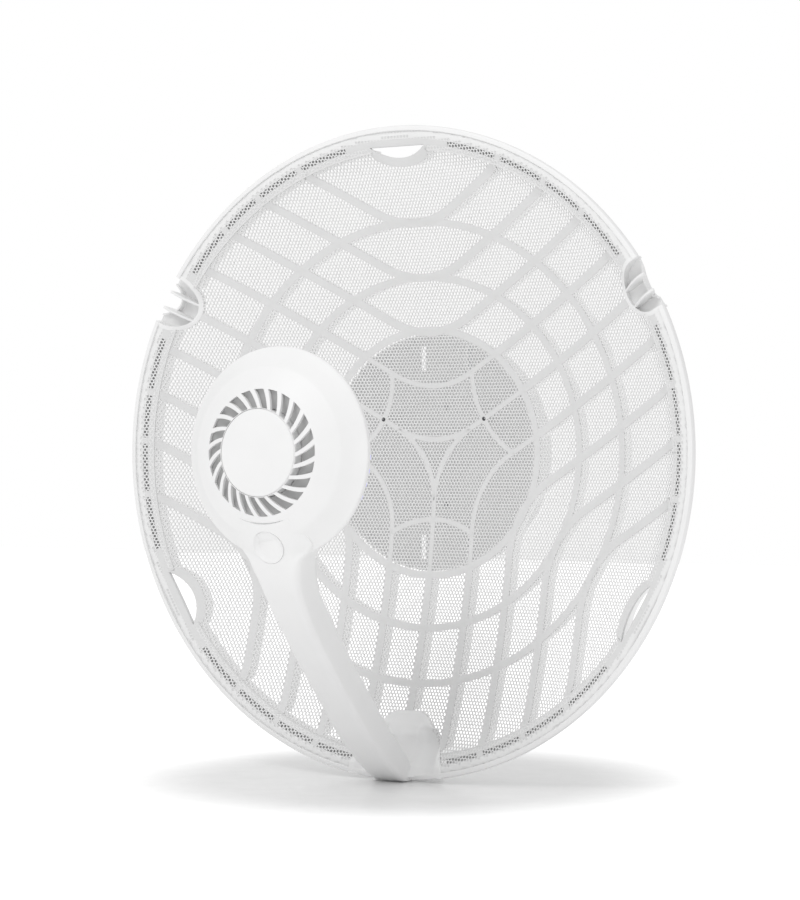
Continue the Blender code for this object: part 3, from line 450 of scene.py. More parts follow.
def perforated_skin():
    """Hexagonal cells in sectors, each with its own hole, or solid at the edge and beside the slots."""
    size = HOLE_PITCH / math.sqrt(3)
    reach = int(GRID_RADIUS / HOLE_PITCH) + 3
    number = np.arange(-int(reach * 1.2), int(reach * 1.2) + 1)
    column, row = np.meshgrid(number, number)
    across = (2 * column + row % 2).ravel()
    up = (3 * row).ravel()
    x = across * HOLE_PITCH / 2
    y = up * size / 2
    keep = (np.hypot(x, y) < GRID_RADIUS) & ~near_slot(x, y, SKIN_GAP) & ~near_notch(x, y, SKIN_GAP)
    keep &= ~near_foot(x, y, -UNDER_FOOT)
    across, up, x, y = across[keep], up[keep], x[keep], y[keep]
    solid = (np.hypot(x, y) > DASHES[1] + EDGE_SOLID) | near_slot(x, y, SLOT_SOLID)
    sector = (np.degrees(np.arctan2(y, x)) % 360.0 // (360.0 / GRID_SECTORS)).astype(int)
    steps = np.array([(0, 2), (-1, 1), (-1, -1), (0, -2), (1, -1), (1, 1)])
    ring = np.radians(90.0 + 60.0 * np.arange(6))
    cells = np.stack([across, up], 1)[:, None, :] + steps[None]
    keys, index = np.unique(cells.reshape(-1, 2), axis=0, return_inverse=True)
    index = index.reshape(len(cells), 6)
    edges = np.sort(np.stack([index, np.roll(index, -1, axis=1)], 2), axis=2)
    _, edge_index, uses = np.unique(edges.reshape(-1, 2), axis=0, return_inverse=True, return_counts=True)
    open_edge = (uses[edge_index.ravel()] == 1).reshape(len(cells), 6)
    pieces = []
    for part in range(GRID_SECTORS):
        mine = np.flatnonzero(sector == part)
        used, local = np.unique(index[mine], return_inverse=True)
        local = local.reshape(len(mine), 6)
        corners = np.stack([keys[used, 0] * HOLE_PITCH / 2, keys[used, 1] * size / 2], 1)
        holed = np.flatnonzero(~solid[mine])
        centres = np.stack([x[mine], y[mine]], 1)
        inner = centres[holed][:, None, :] + HOLE_RADIUS * np.stack([np.cos(ring), np.sin(ring)], 1)[None]
        flat = np.concatenate([corners, inner.reshape(-1, 2)])
        height = level(np.hypot(flat[:, 0], flat[:, 1]))
        points = np.concatenate([np.column_stack([flat, height]), np.column_stack([flat, height - SHEET])])
        offset = len(flat)
        hole = len(corners) + 6 * np.arange(len(holed))[:, None] + np.arange(6)[None]
        outer = local[holed]
        quads = []
        for k in range(6):
            m = (k + 1) % 6
            quads.append(np.stack([outer[:, k], outer[:, m], hole[:, m], hole[:, k]], 1))
            quads.append(offset + np.stack([outer[:, m], outer[:, k], hole[:, k], hole[:, m]], 1))
            quads.append(np.stack([hole[:, k], hole[:, m], hole[:, m] + offset, hole[:, k] + offset], 1))
            rim = local[open_edge[mine][:, k]]
            quads.append(np.stack([rim[:, m], rim[:, k], rim[:, k] + offset, rim[:, m] + offset], 1))
        quads = np.concatenate(quads)
        plain = local[np.flatnonzero(solid[mine])]
        plain = np.concatenate([plain, plain[:, ::-1] + offset])
        pieces.append(skin_piece("skin_sector_{}".format(part + 1), points, quads, plain))
    for sheet in pieces:
        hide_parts("dish_skin")


def skin_piece(name, points, quads, hexagons):
    mesh = bpy.data.meshes.new(name)
    mesh.vertices.add(len(points))
    mesh.vertices.foreach_set("co", points.astype(np.float32).ravel())
    loops = np.concatenate([quads.ravel(), hexagons.ravel()]).astype(np.int32)
    starts = np.concatenate([4 * np.arange(len(quads)), 4 * len(quads) + 6 * np.arange(len(hexagons))])
    totals = np.concatenate([np.full(len(quads), 4), np.full(len(hexagons), 6)])
    mesh.loops.add(len(loops))
    mesh.loops.foreach_set("vertex_index", loops)
    mesh.polygons.add(len(starts))
    mesh.polygons.foreach_set("loop_start", starts.astype(np.int32))
    mesh.polygons.foreach_set("loop_total", totals.astype(np.int32))
    mesh.update(calc_edges=True)
    layer = mesh.uv_layers.new(name="OFBake")
    low = points.min(axis=0)
    span = (points.max(axis=0) - low).max()
    uv = (points[loops][:, :2] - low[:2]) / span
    layer.data.foreach_set("uv", uv.astype(np.float32).ravel())
    mesh.materials.append(SKIN_WHITE)
    obj = bpy.data.objects.new(name, mesh)
    bpy.context.scene.collection.objects.link(obj)
    obj.matrix_world = DISH
    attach(obj, "dish")
    return obj


# ---- strips on the skin and ribs behind it

def bent_path(number, turn):
    """A rounded V from rim to rim."""
    apex = number * RIB_PITCH / math.cos(math.radians(30.0))
    centre = apex + BEND_RADIUS / math.sin(math.radians(60.0))
    angles = np.radians(np.linspace(240.0, 300.0, 37))
    bend = np.stack([BEND_RADIUS * np.cos(angles), centre + BEND_RADIUS * np.sin(angles)], 1)
    leg = np.arange(1.5 * MM, 0.21, 1.5 * MM)[:, None]
    right = bend[-1] + leg * (math.cos(math.radians(30.0)), math.sin(math.radians(30.0)))
    path = np.concatenate([(right * (-1, 1))[::-1], bend, right])
    return np.stack(turned(path[:, 0], path[:, 1], -turn), 1)


def ring_path(radius):
    angles = np.radians(np.linspace(0.0, 360.0, int(2 * math.pi * radius / (2 * MM))))
    return np.stack([radius * np.cos(angles), radius * np.sin(angles)], 1)


def hub_arc(turn):
    angles = np.radians(np.linspace(-33.0, 33.0, 33))
    path = np.stack([0.27 * RIM * np.sin(angles), 0.479 * RIM - 0.27 * RIM * np.cos(angles)], 1)
    return np.stack(turned(path[:, 0], path[:, 1], -turn), 1)


def runs_of(path, allowed):
    """The stretches of a path that are allowed."""
    run = []
    for i in range(len(path) + 1):
        if i < len(path) and allowed[i]:
            run.append(i)
            continue
        if len(run) > 2:
            yield np.array(run)
        run = []


def ribbon(path, half, top, bottom, taper=1.0):
    """A strip along a path on the skin, from one height to another against the skin's surface."""
    along = np.gradient(path, axis=0)
    along /= np.linalg.norm(along, axis=1)[:, None]
    side = np.stack([-along[:, 1], along[:, 0]], 1)
    rings = []
    for point, across in zip(path, side):
        ring = []
        for sign, rise, width in ((1, top, half), (1, bottom, half * taper), (-1, bottom, half * taper),
                                  (-1, top, half)):
            px, py = point + sign * width * across
            ring.append((px, py, level(math.hypot(px, py) if rise == top else math.hypot(*point)) + rise))
        rings.append(ring)
    return loft(rings)


def clear_of(path, slot_margin, notch_margin, foot_margin):
    """Where a path keeps its distance from the slots, the notches and the foot."""
    x, y = path[:, 0], path[:, 1]
    return ~near_slot(x, y, slot_margin) & ~near_notch(x, y, notch_margin) & ~near_foot(x, y, foot_margin)


def plate(path, half):
    return ribbon(path, half, PLATE_RISE, -PLATE_SINK)


def rib(path, half=RIB_HALF, taper=0.8):
    return ribbon(path, half, -RIB_TOP, -RIB_HEIGHT, taper)


def strips_and_ribs():
    plates = []
    ribs = []
    for turn in (0.0, 120.0, 240.0):
        for number in range(5):
            path = bent_path(number, turn)
            r = np.hypot(path[:, 0], path[:, 1])
            free = clear_of(path, 3.0 * MM, 1.0 * MM, 0.0)
            inner = r < HUB + 1.5 * MM
            if number == 0:
                own_half = turned(path[:, 0], path[:, 1], turn)[0] > -BEND_RADIUS / 2
                free &= own_half
                inner &= own_half
            for run in runs_of(path, (r > HUB) & (r < CELLS_END + 1.0 * MM) & free):
                plates.append(plate(path[run], STRIP_HALF))
                ribs.append(rib(path[run]))
            if number < 2:
                for run in runs_of(path, inner):
                    plates.append(plate(path[run], HUB_STRIP_HALF))
        plates.append(plate(hub_arc(turn + 180.0), HUB_STRIP_HALF))
    for radius in RINGS:
        path = ring_path(radius)
        plates.append(plate(path, RING_HALF))
        ribs.append(rib(path))
    plates.append(plate(ring_path((HUB + HUB_BAND) / 2), (HUB_BAND - HUB) / 2))
    edge_plates, edge_ribs = edge_strips()
    # Strips in the darker copy of the moulding: painted shade.
    strips = piece("skin_strips", *gather(plates + edge_plates), STRIP_SHADED_WHITE, sharp=25.0)
    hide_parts("dish_skin")

    ribs += edge_ribs
    for turn in (0.0, 120.0, 240.0):
        us = np.linspace(-SLOT_HALF - 2.0 * MM, SLOT_HALF + 2.0 * MM, 31)
        ribs.append(rib(np.stack(turned(us, slot_inner(us) - 3.0 * MM, -turn), 1)))
    web = piece("rib_web", *gather(ribs), RIB_WHITE)
    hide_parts("rib_lattice")


def edge_strips():
    """Solid bands at the edge of the skin, and the plain stretches between its dashes."""
    plates = []
    ribs = []
    path = ring_path(EDGE_STRIP)
    for run in runs_of(path, clear_of(path, 0.5 * MM, 0.5 * MM, -0.5 * MM)):
        plates.append(plate(path[run], EDGE_STRIP_HALF))
        ribs.append(rib(path[run], EDGE_RIB_HALF, 0.9))
    path = ring_path(LIP_STRIP)
    free = ~near_notch(path[:, 0], path[:, 1], 0.3 * MM) & ~near_foot(path[:, 0], path[:, 1], -0.5 * MM)
    for run in runs_of(path, free):
        plates.append(plate(path[run], LIP_STRIP_HALF))
    angles = np.radians(np.arange(0.0, 360.0, 0.25))
    from_slot = 60.0 - np.abs((np.degrees(angles) + 30.0) % 120.0 - 60.0)
    dashed = np.zeros(len(angles), bool)
    for low, high in DASH_SPANS:
        dashed |= (from_slot > low) & (from_slot < high)
    middle = (DASHES[0] + DASHES[1]) / 2
    path = np.stack([middle * np.cos(angles), middle * np.sin(angles)], 1)
    for run in runs_of(path, ~dashed & clear_of(path, 0.4 * MM, 0.3 * MM, -0.5 * MM)):
        plates.append(plate(path[run], (DASHES[1] - DASHES[0]) / 2 + 0.1 * MM))
    return plates, ribs


def hub_screws():
    """Small dark screws where the lattice's bars meet in the hub."""
    shape = ((0.001, 0.12), (0.7, 0.12), (0.8, 0.24), (1.1, 0.28), (1.35, 0.1), (1.4, -1.6), (0.001, -1.6))
    for number in (1, 2):
        low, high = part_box("hub_screw_{}".format(number))
        x, y = (low.x + high.x) / 2, (low.z + high.z) / 2
        z = float(level(math.hypot(x, y)))
        points, faces = lathe([(r * MM, z + h * MM) for r, h in shape], 32)
        points = [(px + x, py + y, pz) for px, py, pz in points]
        screw = piece("hub_fixing_{}".format(number), points, faces, DARK, slot="steel")
        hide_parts("hub_screw_{}".format(number))


# ---- rim: lip, slot borders, notch pockets and the closed channel behind the dashes

def rim_pieces():
    edge = RIM - 0.1 * MM
    inner = edge - LIP_WIDTH
    profile = [(inner, LIP_FRONT - 3.0 * MM), (inner, LIP_FRONT - 0.3 * MM), (inner + 0.3 * MM, LIP_FRONT),
               (edge - 1.4 * MM, LIP_FRONT - 0.05 * MM), (edge - 0.5 * MM, LIP_FRONT - 0.45 * MM),
               (edge, LIP_FRONT - 1.4 * MM), (edge, LIP_FRONT - 4.0 * MM),
               (edge - 0.5 * MM, LIP_FRONT - 5.4 * MM), (edge - 2.6 * MM, LIP_BACK),
               (edge - 4.2 * MM, LIP_BACK), (edge - 2.4 * MM, LIP_FRONT - 5.0 * MM)]
    gap = math.degrees(math.asin(NOTCH_RADIUS / RIM)) + 0.1
    spans = ((30.0 + gap, 150.0 - gap), (150.0 + gap, 390.0 - gap))
    arcs = [lathe(profile[::-1], int(end - start), start, end) for start, end in spans]
    lip = piece("rim_lip", *gather(arcs), WHITE)
    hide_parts("rim_ring")

    borders = [slot_border(turn) for turn in (0.0, 120.0, 240.0)]
    # Slot borders in the darker copy of the moulding: painted shade.
    border = piece("slot_borders", *gather(borders), STRIP_SHADED_WHITE)
    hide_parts("dish_skin")

    # Closed channel behind the dashes, grey for painted shade inside it.
    near, far = 0.1939, 0.1994
    depth = 7.0 * MM
    sheet = 0.8 * MM
    section = [(near, level(near) - SHEET), (near + sheet, level(near) - SHEET),
               (near + sheet, level(near) - depth), (far - sheet, level(far) - depth),
               (far - sheet, level(far) - SHEET), (far, level(far) - SHEET),
               (far, level(far) - depth - sheet), (near, level(near) - depth - sheet)]
    channels = []
    for start, end in CHANNEL_SPANS:
        channels.append(lathe(section, 42, start, end))
    channel = piece("edge_channel", *gather(channels), CHANNEL_PAINTED_SHADE)
    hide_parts("rim_ring")
    for angle, node in zip(OPEN_NOTCHES, ("socket_right", "socket_left")):
        pocket(angle, node)


def slot_border(turn):
    """Plate round a rim slot, wider on the inner side, with the slot's own walls."""
    us = np.linspace(-SLOT_HALF, SLOT_HALF, 31)
    lower = [(u, float(slot_inner(u))) for u in us]
    upper = [(u, SLOT_OUTER) for u in us[::-1][1:-1]]
    points = np.array(fillet(lower + upper, 0.8 * MM, 1))
    after = np.roll(points, -1, axis=0) - np.roll(points, 1, axis=0)
    normal = np.stack([after[:, 1], -after[:, 0]], 1)
    normal /= np.maximum(np.linalg.norm(normal, axis=1), 1e-9)[:, None]
    below = np.clip((SLOT_OUTER - points[:, 1]) / (SLOT_OUTER - SLOT_INNER) * 2.5, 0.0, 1.0)
    reach = SLOT_RIM + (SLOT_BORDER - SLOT_RIM) * below
    rise_edge = PLATE_RISE * 1.3
    rings = []
    for part, rise in ((0.0, -SLOT_DEPTH), (0.0, 0.0), (0.25 * MM, rise_edge), (None, rise_edge),
                       (None, -PLATE_SINK), (0.9 * MM, -SHEET), (0.9 * MM, -SLOT_DEPTH)):
        margin = reach if part is None else np.full(len(points), part)
        flat = points + normal * margin[:, None]
        x, y = turned(flat[:, 0], flat[:, 1], -turn)
        rings.append(np.column_stack([x, y, level(np.hypot(x, y)) + rise]))
    count = len(points)
    faces = []
    for i in range(len(rings)):
        j = (i + 1) % len(rings)
        for k in range(count):
            m = (k + 1) % count
            faces.append((i * count + k, j * count + k, j * count + m, i * count + m))
    return [tuple(p) for p in np.concatenate(rings)], faces


def notch_outline(radius, end):
    """U round the notch's centre line, from one end at the rim round to the other, along +u."""
    angles = np.radians(np.linspace(90.0, 270.0, 41))
    curve = [(NOTCH_CENTRE + radius * math.cos(a), radius * math.sin(a)) for a in angles]
    return [(end, radius)] + curve + [(end, -radius)]


def pocket(angle, node):
    """Toothed pocket in a notch: border and wall, a floor with a round cut-out, and two fins across it."""
    turn = math.radians(angle)

    def place(u, v, z):
        return (u * math.cos(turn) - v * math.sin(turn), u * math.sin(turn) + v * math.cos(turn), z)

    section = ((0.0, 0.45 * MM), (0.35 * MM, 0.55 * MM), (NOTCH_BORDER, 0.10 * MM),
               (NOTCH_BORDER, -1.2 * MM), (1.3 * MM, -1.2 * MM), (1.3 * MM, None), (0.0, None))
    count = len(notch_outline(NOTCH_RADIUS, POCKET_END))
    rings = [[] for ring in range(count)]
    for out, rise in section:
        for i, (u, v) in enumerate(notch_outline(NOTCH_RADIUS + out, POCKET_END)):
            ends = ((i / (count - 1)) * 2 - 1) ** 2
            floor = NOTCH_FLOOR - 2.2 * MM + NOTCH_FLOOR_RISE * ends
            z = floor if rise is None else float(level(math.hypot(u, v))) + rise
            rings[i].append(place(u, v, z))
    parts = [loft(rings)]

    cut_radius = 12.8 * MM
    cut_centre = 0.2118
    outer = notch_outline(NOTCH_RADIUS + 0.6 * MM, POCKET_FLOOR_END)
    inner = []
    for i in range(len(outer)):
        share = i / (len(outer) - 1)
        start = math.acos(max(-1.0, (POCKET_FLOOR_END - cut_centre) / cut_radius))
        a = start + share * (2 * math.pi - 2 * start)
        inner.append((cut_centre + cut_radius * math.cos(a), cut_radius * math.sin(a)))
    floor_rings = []
    for (ou, ov), (iu, iv) in zip(outer, inner):
        du, dv = iu - ou, iv - ov
        length = math.hypot(du, dv)
        lip = 1.2 * MM / length
        lu, lv = ou + du * (1 - lip), ov + dv * (1 - lip)
        share = abs(len(floor_rings) / (len(outer) - 1) * 2 - 1)
        base = NOTCH_FLOOR + NOTCH_FLOOR_RISE * share ** 2
        lip_top = NOTCH_FLOOR + (4.9 + 6.0 * share ** 2) * MM
        floor_rings.append([place(ou, ov, base - 2.0 * MM), place(ou, ov, base),
                            place(lu, lv, base + 0.3 * MM), place(lu, lv, lip_top),
                            place(iu, iv, lip_top), place(iu, iv, base - 1.0 * MM)])
    parts.append(loft(floor_rings))
    slant_start = 0.1975
    for side in (-FIN_SIDE, FIN_SIDE):
        start = NOTCH_CENTRE - math.sqrt(NOTCH_RADIUS ** 2 - side ** 2) - 0.5 * MM
        half = 0.8 * MM
        rings = []
        for u in (start, start + 4.0 * MM, 0.1935, slant_start, 0.2005, 0.2030, POCKET_FLOOR_END):
            top = float(level(u)) + 0.3 * MM
            slant = max(0.0, (u - slant_start) / (POCKET_FLOOR_END - slant_start))
            low = NOTCH_FLOOR - 1.0 * MM + slant * (top - NOTCH_FLOOR - 1.0 * MM)
            rings.append([place(u, side - half, low), place(u, side - half, top - 0.4 * MM),
                          place(u, side - half * 0.5, top), place(u, side + half * 0.5, top),
                          place(u, side + half, top - 0.4 * MM), place(u, side + half, low)])
        parts.append(loft(rings))
    socket = piece("pocket_" + node[7:], *gather(parts), WHITE)
    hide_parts(node)


# ---- radio head; profiles are radius against height, in mm

DOME = ((0.0, 205.4), (12.0, 205.1), (25.8, 203.9), (37.3, 200.0), (42.5, 197.5), (48.0, 194.6),
        (50.6, 193.1), (52.4, 191.4), (57.0, 187.1), (61.0, 183.9), (62.2, 183.0), (62.6, 182.2))
VENT_GRID = ((26.2, 196.2), (30.0, 196.4), (34.0, 196.9), (38.2, 197.6))
VENT_GRID_THICK = 1.0
CAP_BACK = 192.2
CONE = ((62.5, 182.0), (62.3, 180.4), (61.3, 177.8), (55.0, 167.4), (46.5, 155.5), (38.2, 145.2),
        (35.5, 142.0), (32.0, 140.3), (29.0, 140.0))
CONE_INSIDE = ((22.8, 140.0), (22.8, 142.0), (31.0, 142.2), (36.4, 147.0), (44.0, 157.5), (52.5, 169.0),
               (59.0, 178.0), (60.4, 181.8))
LENS = ((22.3, 142.4), (22.3, 139.5), (20.6, 136.4), (16.5, 133.0), (9.0, 129.9), (0.001, 128.8))
LENS_INSIDE = ((0.001, 131.0), (12.0, 133.8), (19.5, 140.0), (19.5, 142.4))


def in_metres(points):
    return [(r * MM, z * MM) for r, z in points]


def dome_height(radius):
    """Front of the head along its radius."""
    outline = smooth_through(DOME, 12)
    return np.interp(radius / MM, outline[:, 0], outline[:, 1]) * MM


def cut_away(target, outline, low, high, sharp, place=None):
    """Cuts a prism over a closed outline out of a piece, exactly."""
    count = len(outline)
    points = [(x, y, z) for z in (low, high) for x, y in outline]
    faces = [(k, (k + 1) % count, count + (k + 1) % count, count + k) for k in range(count)]
    faces += [tuple(range(count))[::-1], tuple(range(count, 2 * count))]
    mesh = bpy.data.meshes.new("cutter")
    mesh.from_pydata(points, [], faces)
    cutter = bpy.data.objects.new("cutter", mesh)
    bpy.context.scene.collection.objects.link(cutter)
    cutter.matrix_world = DISH if place is None else DISH @ place
    modifier = target.modifiers.new("cut", 'BOOLEAN')
    modifier.operation = 'DIFFERENCE'
    modifier.solver = 'EXACT'
    modifier.object = cutter
    graph = bpy.context.evaluated_depsgraph_get()
    graph.update()
    cut = bpy.data.meshes.new_from_object(target.evaluated_get(graph))
    target.modifiers.clear()
    target.data = cut
    cut.set_sharp_from_angle(angle=math.radians(sharp))
    bpy.data.objects.remove(cutter)


def head_front():
    """Front cover with leaning vents, and the opening for the arm's tongue."""
    columns = VENTS * COLUMNS_PER_VENT
    radii = np.concatenate([
        [CAP_RADIUS + 0.1 * MM, VENT_INNER], np.linspace(VENT_INNER, VENT_OUTER, 9)[1:],
        [38.0 * MM, 39.5 * MM, 41.5 * MM], np.linspace(43.5 * MM, 59.5 * MM, 24),
        [60.5 * MM, 61.2 * MM, 61.8 * MM, 62.2 * MM, 62.5 * MM, HEAD_RADIUS]])
    part = np.clip((radii - VENT_INNER) / (VENT_OUTER - VENT_INNER), 0.0, 1.0)
    angles = 2 * math.pi * np.arange(columns) / columns
    grid = angles[None] + (part * VENT_LEAN)[:, None]
    thick = 2.0 * MM
    front = np.stack([radii[:, None] * np.cos(grid), radii[:, None] * np.sin(grid),
                      np.repeat(dome_height(radii)[:, None], columns, 1)], 2)
    inner = np.where(radii > 45.0 * MM, radii - thick * 0.75, radii)
    depth = dome_height(radii) - thick
    depth[-1] = HEAD_EDGE + 0.3 * MM
    depth[-2] = depth[-1] + 0.2 * MM
    back = np.stack([inner[:, None] * np.cos(grid), inner[:, None] * np.sin(grid),
                     np.repeat(depth[:, None], columns, 1)], 2)
    solid = np.ones((len(radii) - 1, columns), bool)
    middle = (radii[:-1] + radii[1:]) / 2
    in_vent = (middle > VENT_INNER) & (middle < VENT_OUTER)
    open_column = (np.arange(columns) % COLUMNS_PER_VENT) < OPEN_COLUMNS
    solid[np.ix_(in_vent, open_column)] = False
    shell = masked_shell(front, back, solid)
    grid_back = [(r, z - VENT_GRID_THICK) for r, z in VENT_GRID]
    floor = lathe(in_metres(grid_back + list(VENT_GRID)[::-1]), 144)
    points, faces = gather([shell, floor])
    indices = [0] * len(shell[1]) + [1] * len(floor[1])
    cover = piece("head_cover", points, faces, WHITE, indices=indices, extra=VENT_GREY)
    cut_away(cover, tongue_opening(), 0.150, 0.230, 32.0)
    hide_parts("head_front_cover")

    edge = dome_height(CAP_RADIUS)
    outline = [(0.0001 * MM, dome_height(0.0))]
    outline += [(radius, dome_height(radius)) for radius in np.linspace(3.0 * MM, 24.6 * MM, 9)]
    outline += [(25.3 * MM, edge + 0.1 * MM), (25.7 * MM, edge - 0.4 * MM), (CAP_RADIUS, edge - 1.2 * MM),
                (CAP_RADIUS, CAP_BACK * MM), (24.0 * MM, CAP_BACK * MM), (0.0001 * MM, CAP_BACK * MM)]
    cap = piece("centre_cap", *lathe(outline[::-1], 144), WHITE, sharp=45.0)
    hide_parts("head_centre_cap")


def tongue_opening():
    """Outline of the arm's tongue as the head sees it, with the parting gap round it."""
    stations = smooth_through(ARM_STATIONS, 7) * MM
    above = [station for station in stations if station[0] > -75.0 * MM]
    top_y, _, top_half = above[0][:3]
    sag = above[0][4]
    crown = [((top_half + PARTING) * t, top_y + PARTING + sag * t * t) for t in np.linspace(-1.0, 1.0, 25)]
    right = [(station[2] + PARTING, station[0] + station[4]) for station in above]
    right[0] = (right[0][0], right[0][1] + PARTING)
    return crown[:-1] + right + [(-x, y) for x, y in right[::-1][:-1]]


def status_light(number):
    """Small oval window in the side of the head, just behind its edge."""
    node = "status_light_{}".format(number)
    low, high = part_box(node)
    middle = (low + high) / 2
    angle = math.atan2(middle.z, middle.x)
    side = CONE[3:0:-1]
    half_length = 1.5 * MM
    half_height = 0.8 * MM
    points = []
    count = 20
    for out, size in ((-1.5, 1.0), (0.15, 1.0), (0.30, 0.6)):
        for k in range(count):
            a = 2 * math.pi * k / count
            along = half_length * size * math.cos(a)
            height = 177.6 * MM + half_height * size * math.sin(a)
            reach = np.interp(height / MM, [z for r, z in side], [r for r, z in side]) * MM + out * MM
            x = reach * math.cos(angle) - along * math.sin(angle)
            y = reach * math.sin(angle) + along * math.cos(angle)
            points.append((x, y, height))
    faces = []
    for i in range(2):
        for k in range(count):
            m = (k + 1) % count
            faces.append((i * count + k, i * count + m, (i + 1) * count + m, (i + 1) * count + k))
    faces += [tuple(range(count))[::-1], tuple(range(2 * count, 3 * count))]
    light = piece("light_window_{}".format(number), points, faces, LIGHT_BLUE, slot="light_pipe", sharp=60.0)
    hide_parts(node)


def head_rear():
    profile = in_metres(smooth_through(CONE, 8)) + in_metres(CONE_INSIDE)
    shell = piece("head_back", *lathe(profile[::-1], 200), WHITE, sharp=40.0)
    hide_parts("head_rear_shell")
    for number in range(1, 5):
        status_light(number)
    profile = in_metres(smooth_through(LENS, 7)) + in_metres(LENS_INSIDE)
    lens = piece("feed_dome", *lathe(profile[::-1], 120), LENS_WHITE, slot="lens_plastic", sharp=50.0)
    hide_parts("feed_lens")


# ---- arm stations in mm: y, front, half width, corner radius, sag of the row, back, drop of the edges

ARM_STATIONS = (
    (-41.9, 198.1, 17.4, 0.5, 3.8, 194.0, 0.1), (-45.6, 196.4, 20.4, 0.6, 3.2, 191.0, 1.4),
    (-50.0, 194.5, 24.2, 0.7, 2.4, 187.0, 3.7), (-54.5, 192.8, 26.3, 0.9, 1.6, 181.0, 6.0),
    (-58.6, 191.4, 23.6, 2.6, 0.8, 176.0, 5.4), (-62.8, 189.9, 19.4, 4.2, 0.3, 172.0, 2.4),
    (-68.0, 187.8, 17.2, 4.6, 0.0, 169.0, 0.9), (-76.0, 184.0, 14.9, 4.6, 0.0, 164.0, 0.4),
    (-85.0, 178.7, 13.6, 4.6, 0.0, 156.5, 0.2), (-97.0, 170.4, 12.8, 4.6, 0.0, 146.0, 0.2),
    (-110.0, 160.3, 12.3, 4.6, 0.0, 134.5, 0.2), (-132.0, 141.0, 12.0, 4.6, 0.0, 114.5, 0.2),
    (-153.0, 121.5, 12.0, 4.8, 0.0, 94.5, 0.2), (-175.0, 100.5, 12.2, 5.0, 0.0, 73.5, 0.2),
    (-190.0, 82.5, 12.3, 5.0, 0.0, 56.5, 0.2), (-199.0, 69.5, 12.2, 4.6, 0.0, 50.5, 0.2),
    (-206.0, 57.0, 12.0, 3.0, 0.0, 46.5, 0.2))


def arm_section(y, front, half, corner, sag, back, drop, inset=0.0):
    """Open row of points from the left back edge over the front to the right back edge."""
    half = half - inset
    front = front - inset * 1.3
    corner = max(corner - inset * 0.8, 0.25 * MM)
    turns = np.radians(np.linspace(0.0, 90.0, 7))
    edge = front - drop
    side = [(half, back), (half, (back + edge - corner) / 2)]
    for t in turns:
        side.append((half - corner * (1 - math.cos(t)), edge - corner * (1 - math.sin(t))))
    flat = half - corner
    for share in (0.85, 0.7, 0.52, 0.34, 0.17, 0.0):
        side.append((flat * share, front + 0.3 * MM * (1 - share) - drop * share ** 2.2))
    right = [(x, y + sag * (x / max(half, 1e-6)) ** 2, z) for x, z in side]
    left = [(-x, py, z) for x, py, z in right[:-1]]
    return left + right[::-1]


def arm_cover():
    stations = smooth_through(ARM_STATIONS, 7) * MM
    rings = []
    for station in stations:
        outer = arm_section(*station)
        inner = arm_section(*station, inset=ARM_WALL)
        rings.append(outer + inner[::-1])
    cover = piece("arm_shell", *loft(rings), WHITE, body="arm_cover", sharp=38.0)
    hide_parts("arm_cover")
    return cover


BUTTON_TILT = math.radians(21.0)
BUTTON_PLACE = Matrix.Translation((0.0, -55.6 * MM, 192.7 * MM)) @ Matrix.Rotation(BUTTON_TILT, 4, 'X')
BUTTON_RADIUS = 10.1 * MM
BUTTON_HOLE = 10.22 * MM
BUTTON_SLOPE = 14.3 * MM
BUTTON_EDGE = 2.4 * MM


def button(cover):
    """Round button with a dish that is deepest at its upper left, and the hole it sits in."""
    columns = 72
    rows = 16
    turns = 2 * math.pi * np.arange(columns) / columns
    hole = [(BUTTON_HOLE * math.cos(a), BUTTON_HOLE * math.sin(a)) for a in turns]
    cut_away(cover, hole, -6.0 * MM, 6.0 * MM, 38.0, BUTTON_PLACE)

    points = []
    for i in range(rows + 1):
        radius = BUTTON_RADIUS * i / rows
        for k in range(columns):
            a = 2 * math.pi * k / columns
            x, y = radius * math.cos(a), radius * math.sin(a)
            slope = (y - x) / BUTTON_SLOPE
            edge = min(1.0, (BUTTON_RADIUS - radius) / BUTTON_EDGE)
            points.append((x, y, -MM * edge * (1.5 + 1.5 * slope) - 0.1 * MM))
    base = len(points)
    for k in range(columns):
        a = 2 * math.pi * k / columns
        points.append((BUTTON_RADIUS * math.cos(a), BUTTON_RADIUS * math.sin(a), -4.5 * MM))
    faces = []
    for i in range(rows + 1):
        for k in range(columns):
            m = (k + 1) % columns
            if i < rows:
                below = (i + 1) * columns
                faces.append((i * columns + k, below + k, below + m, i * columns + m))
            else:
                faces.append((i * columns + k, base + k, base + m, i * columns + m))
    faces.append(tuple(base + k for k in range(columns))[::-1])
    placed = [tuple(BUTTON_PLACE @ Matrix.Translation(p).to_translation()) for p in points]
    face = piece("button_cap", placed, faces, WHITE, body="release_button", sharp=50.0)
    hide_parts("release_button")


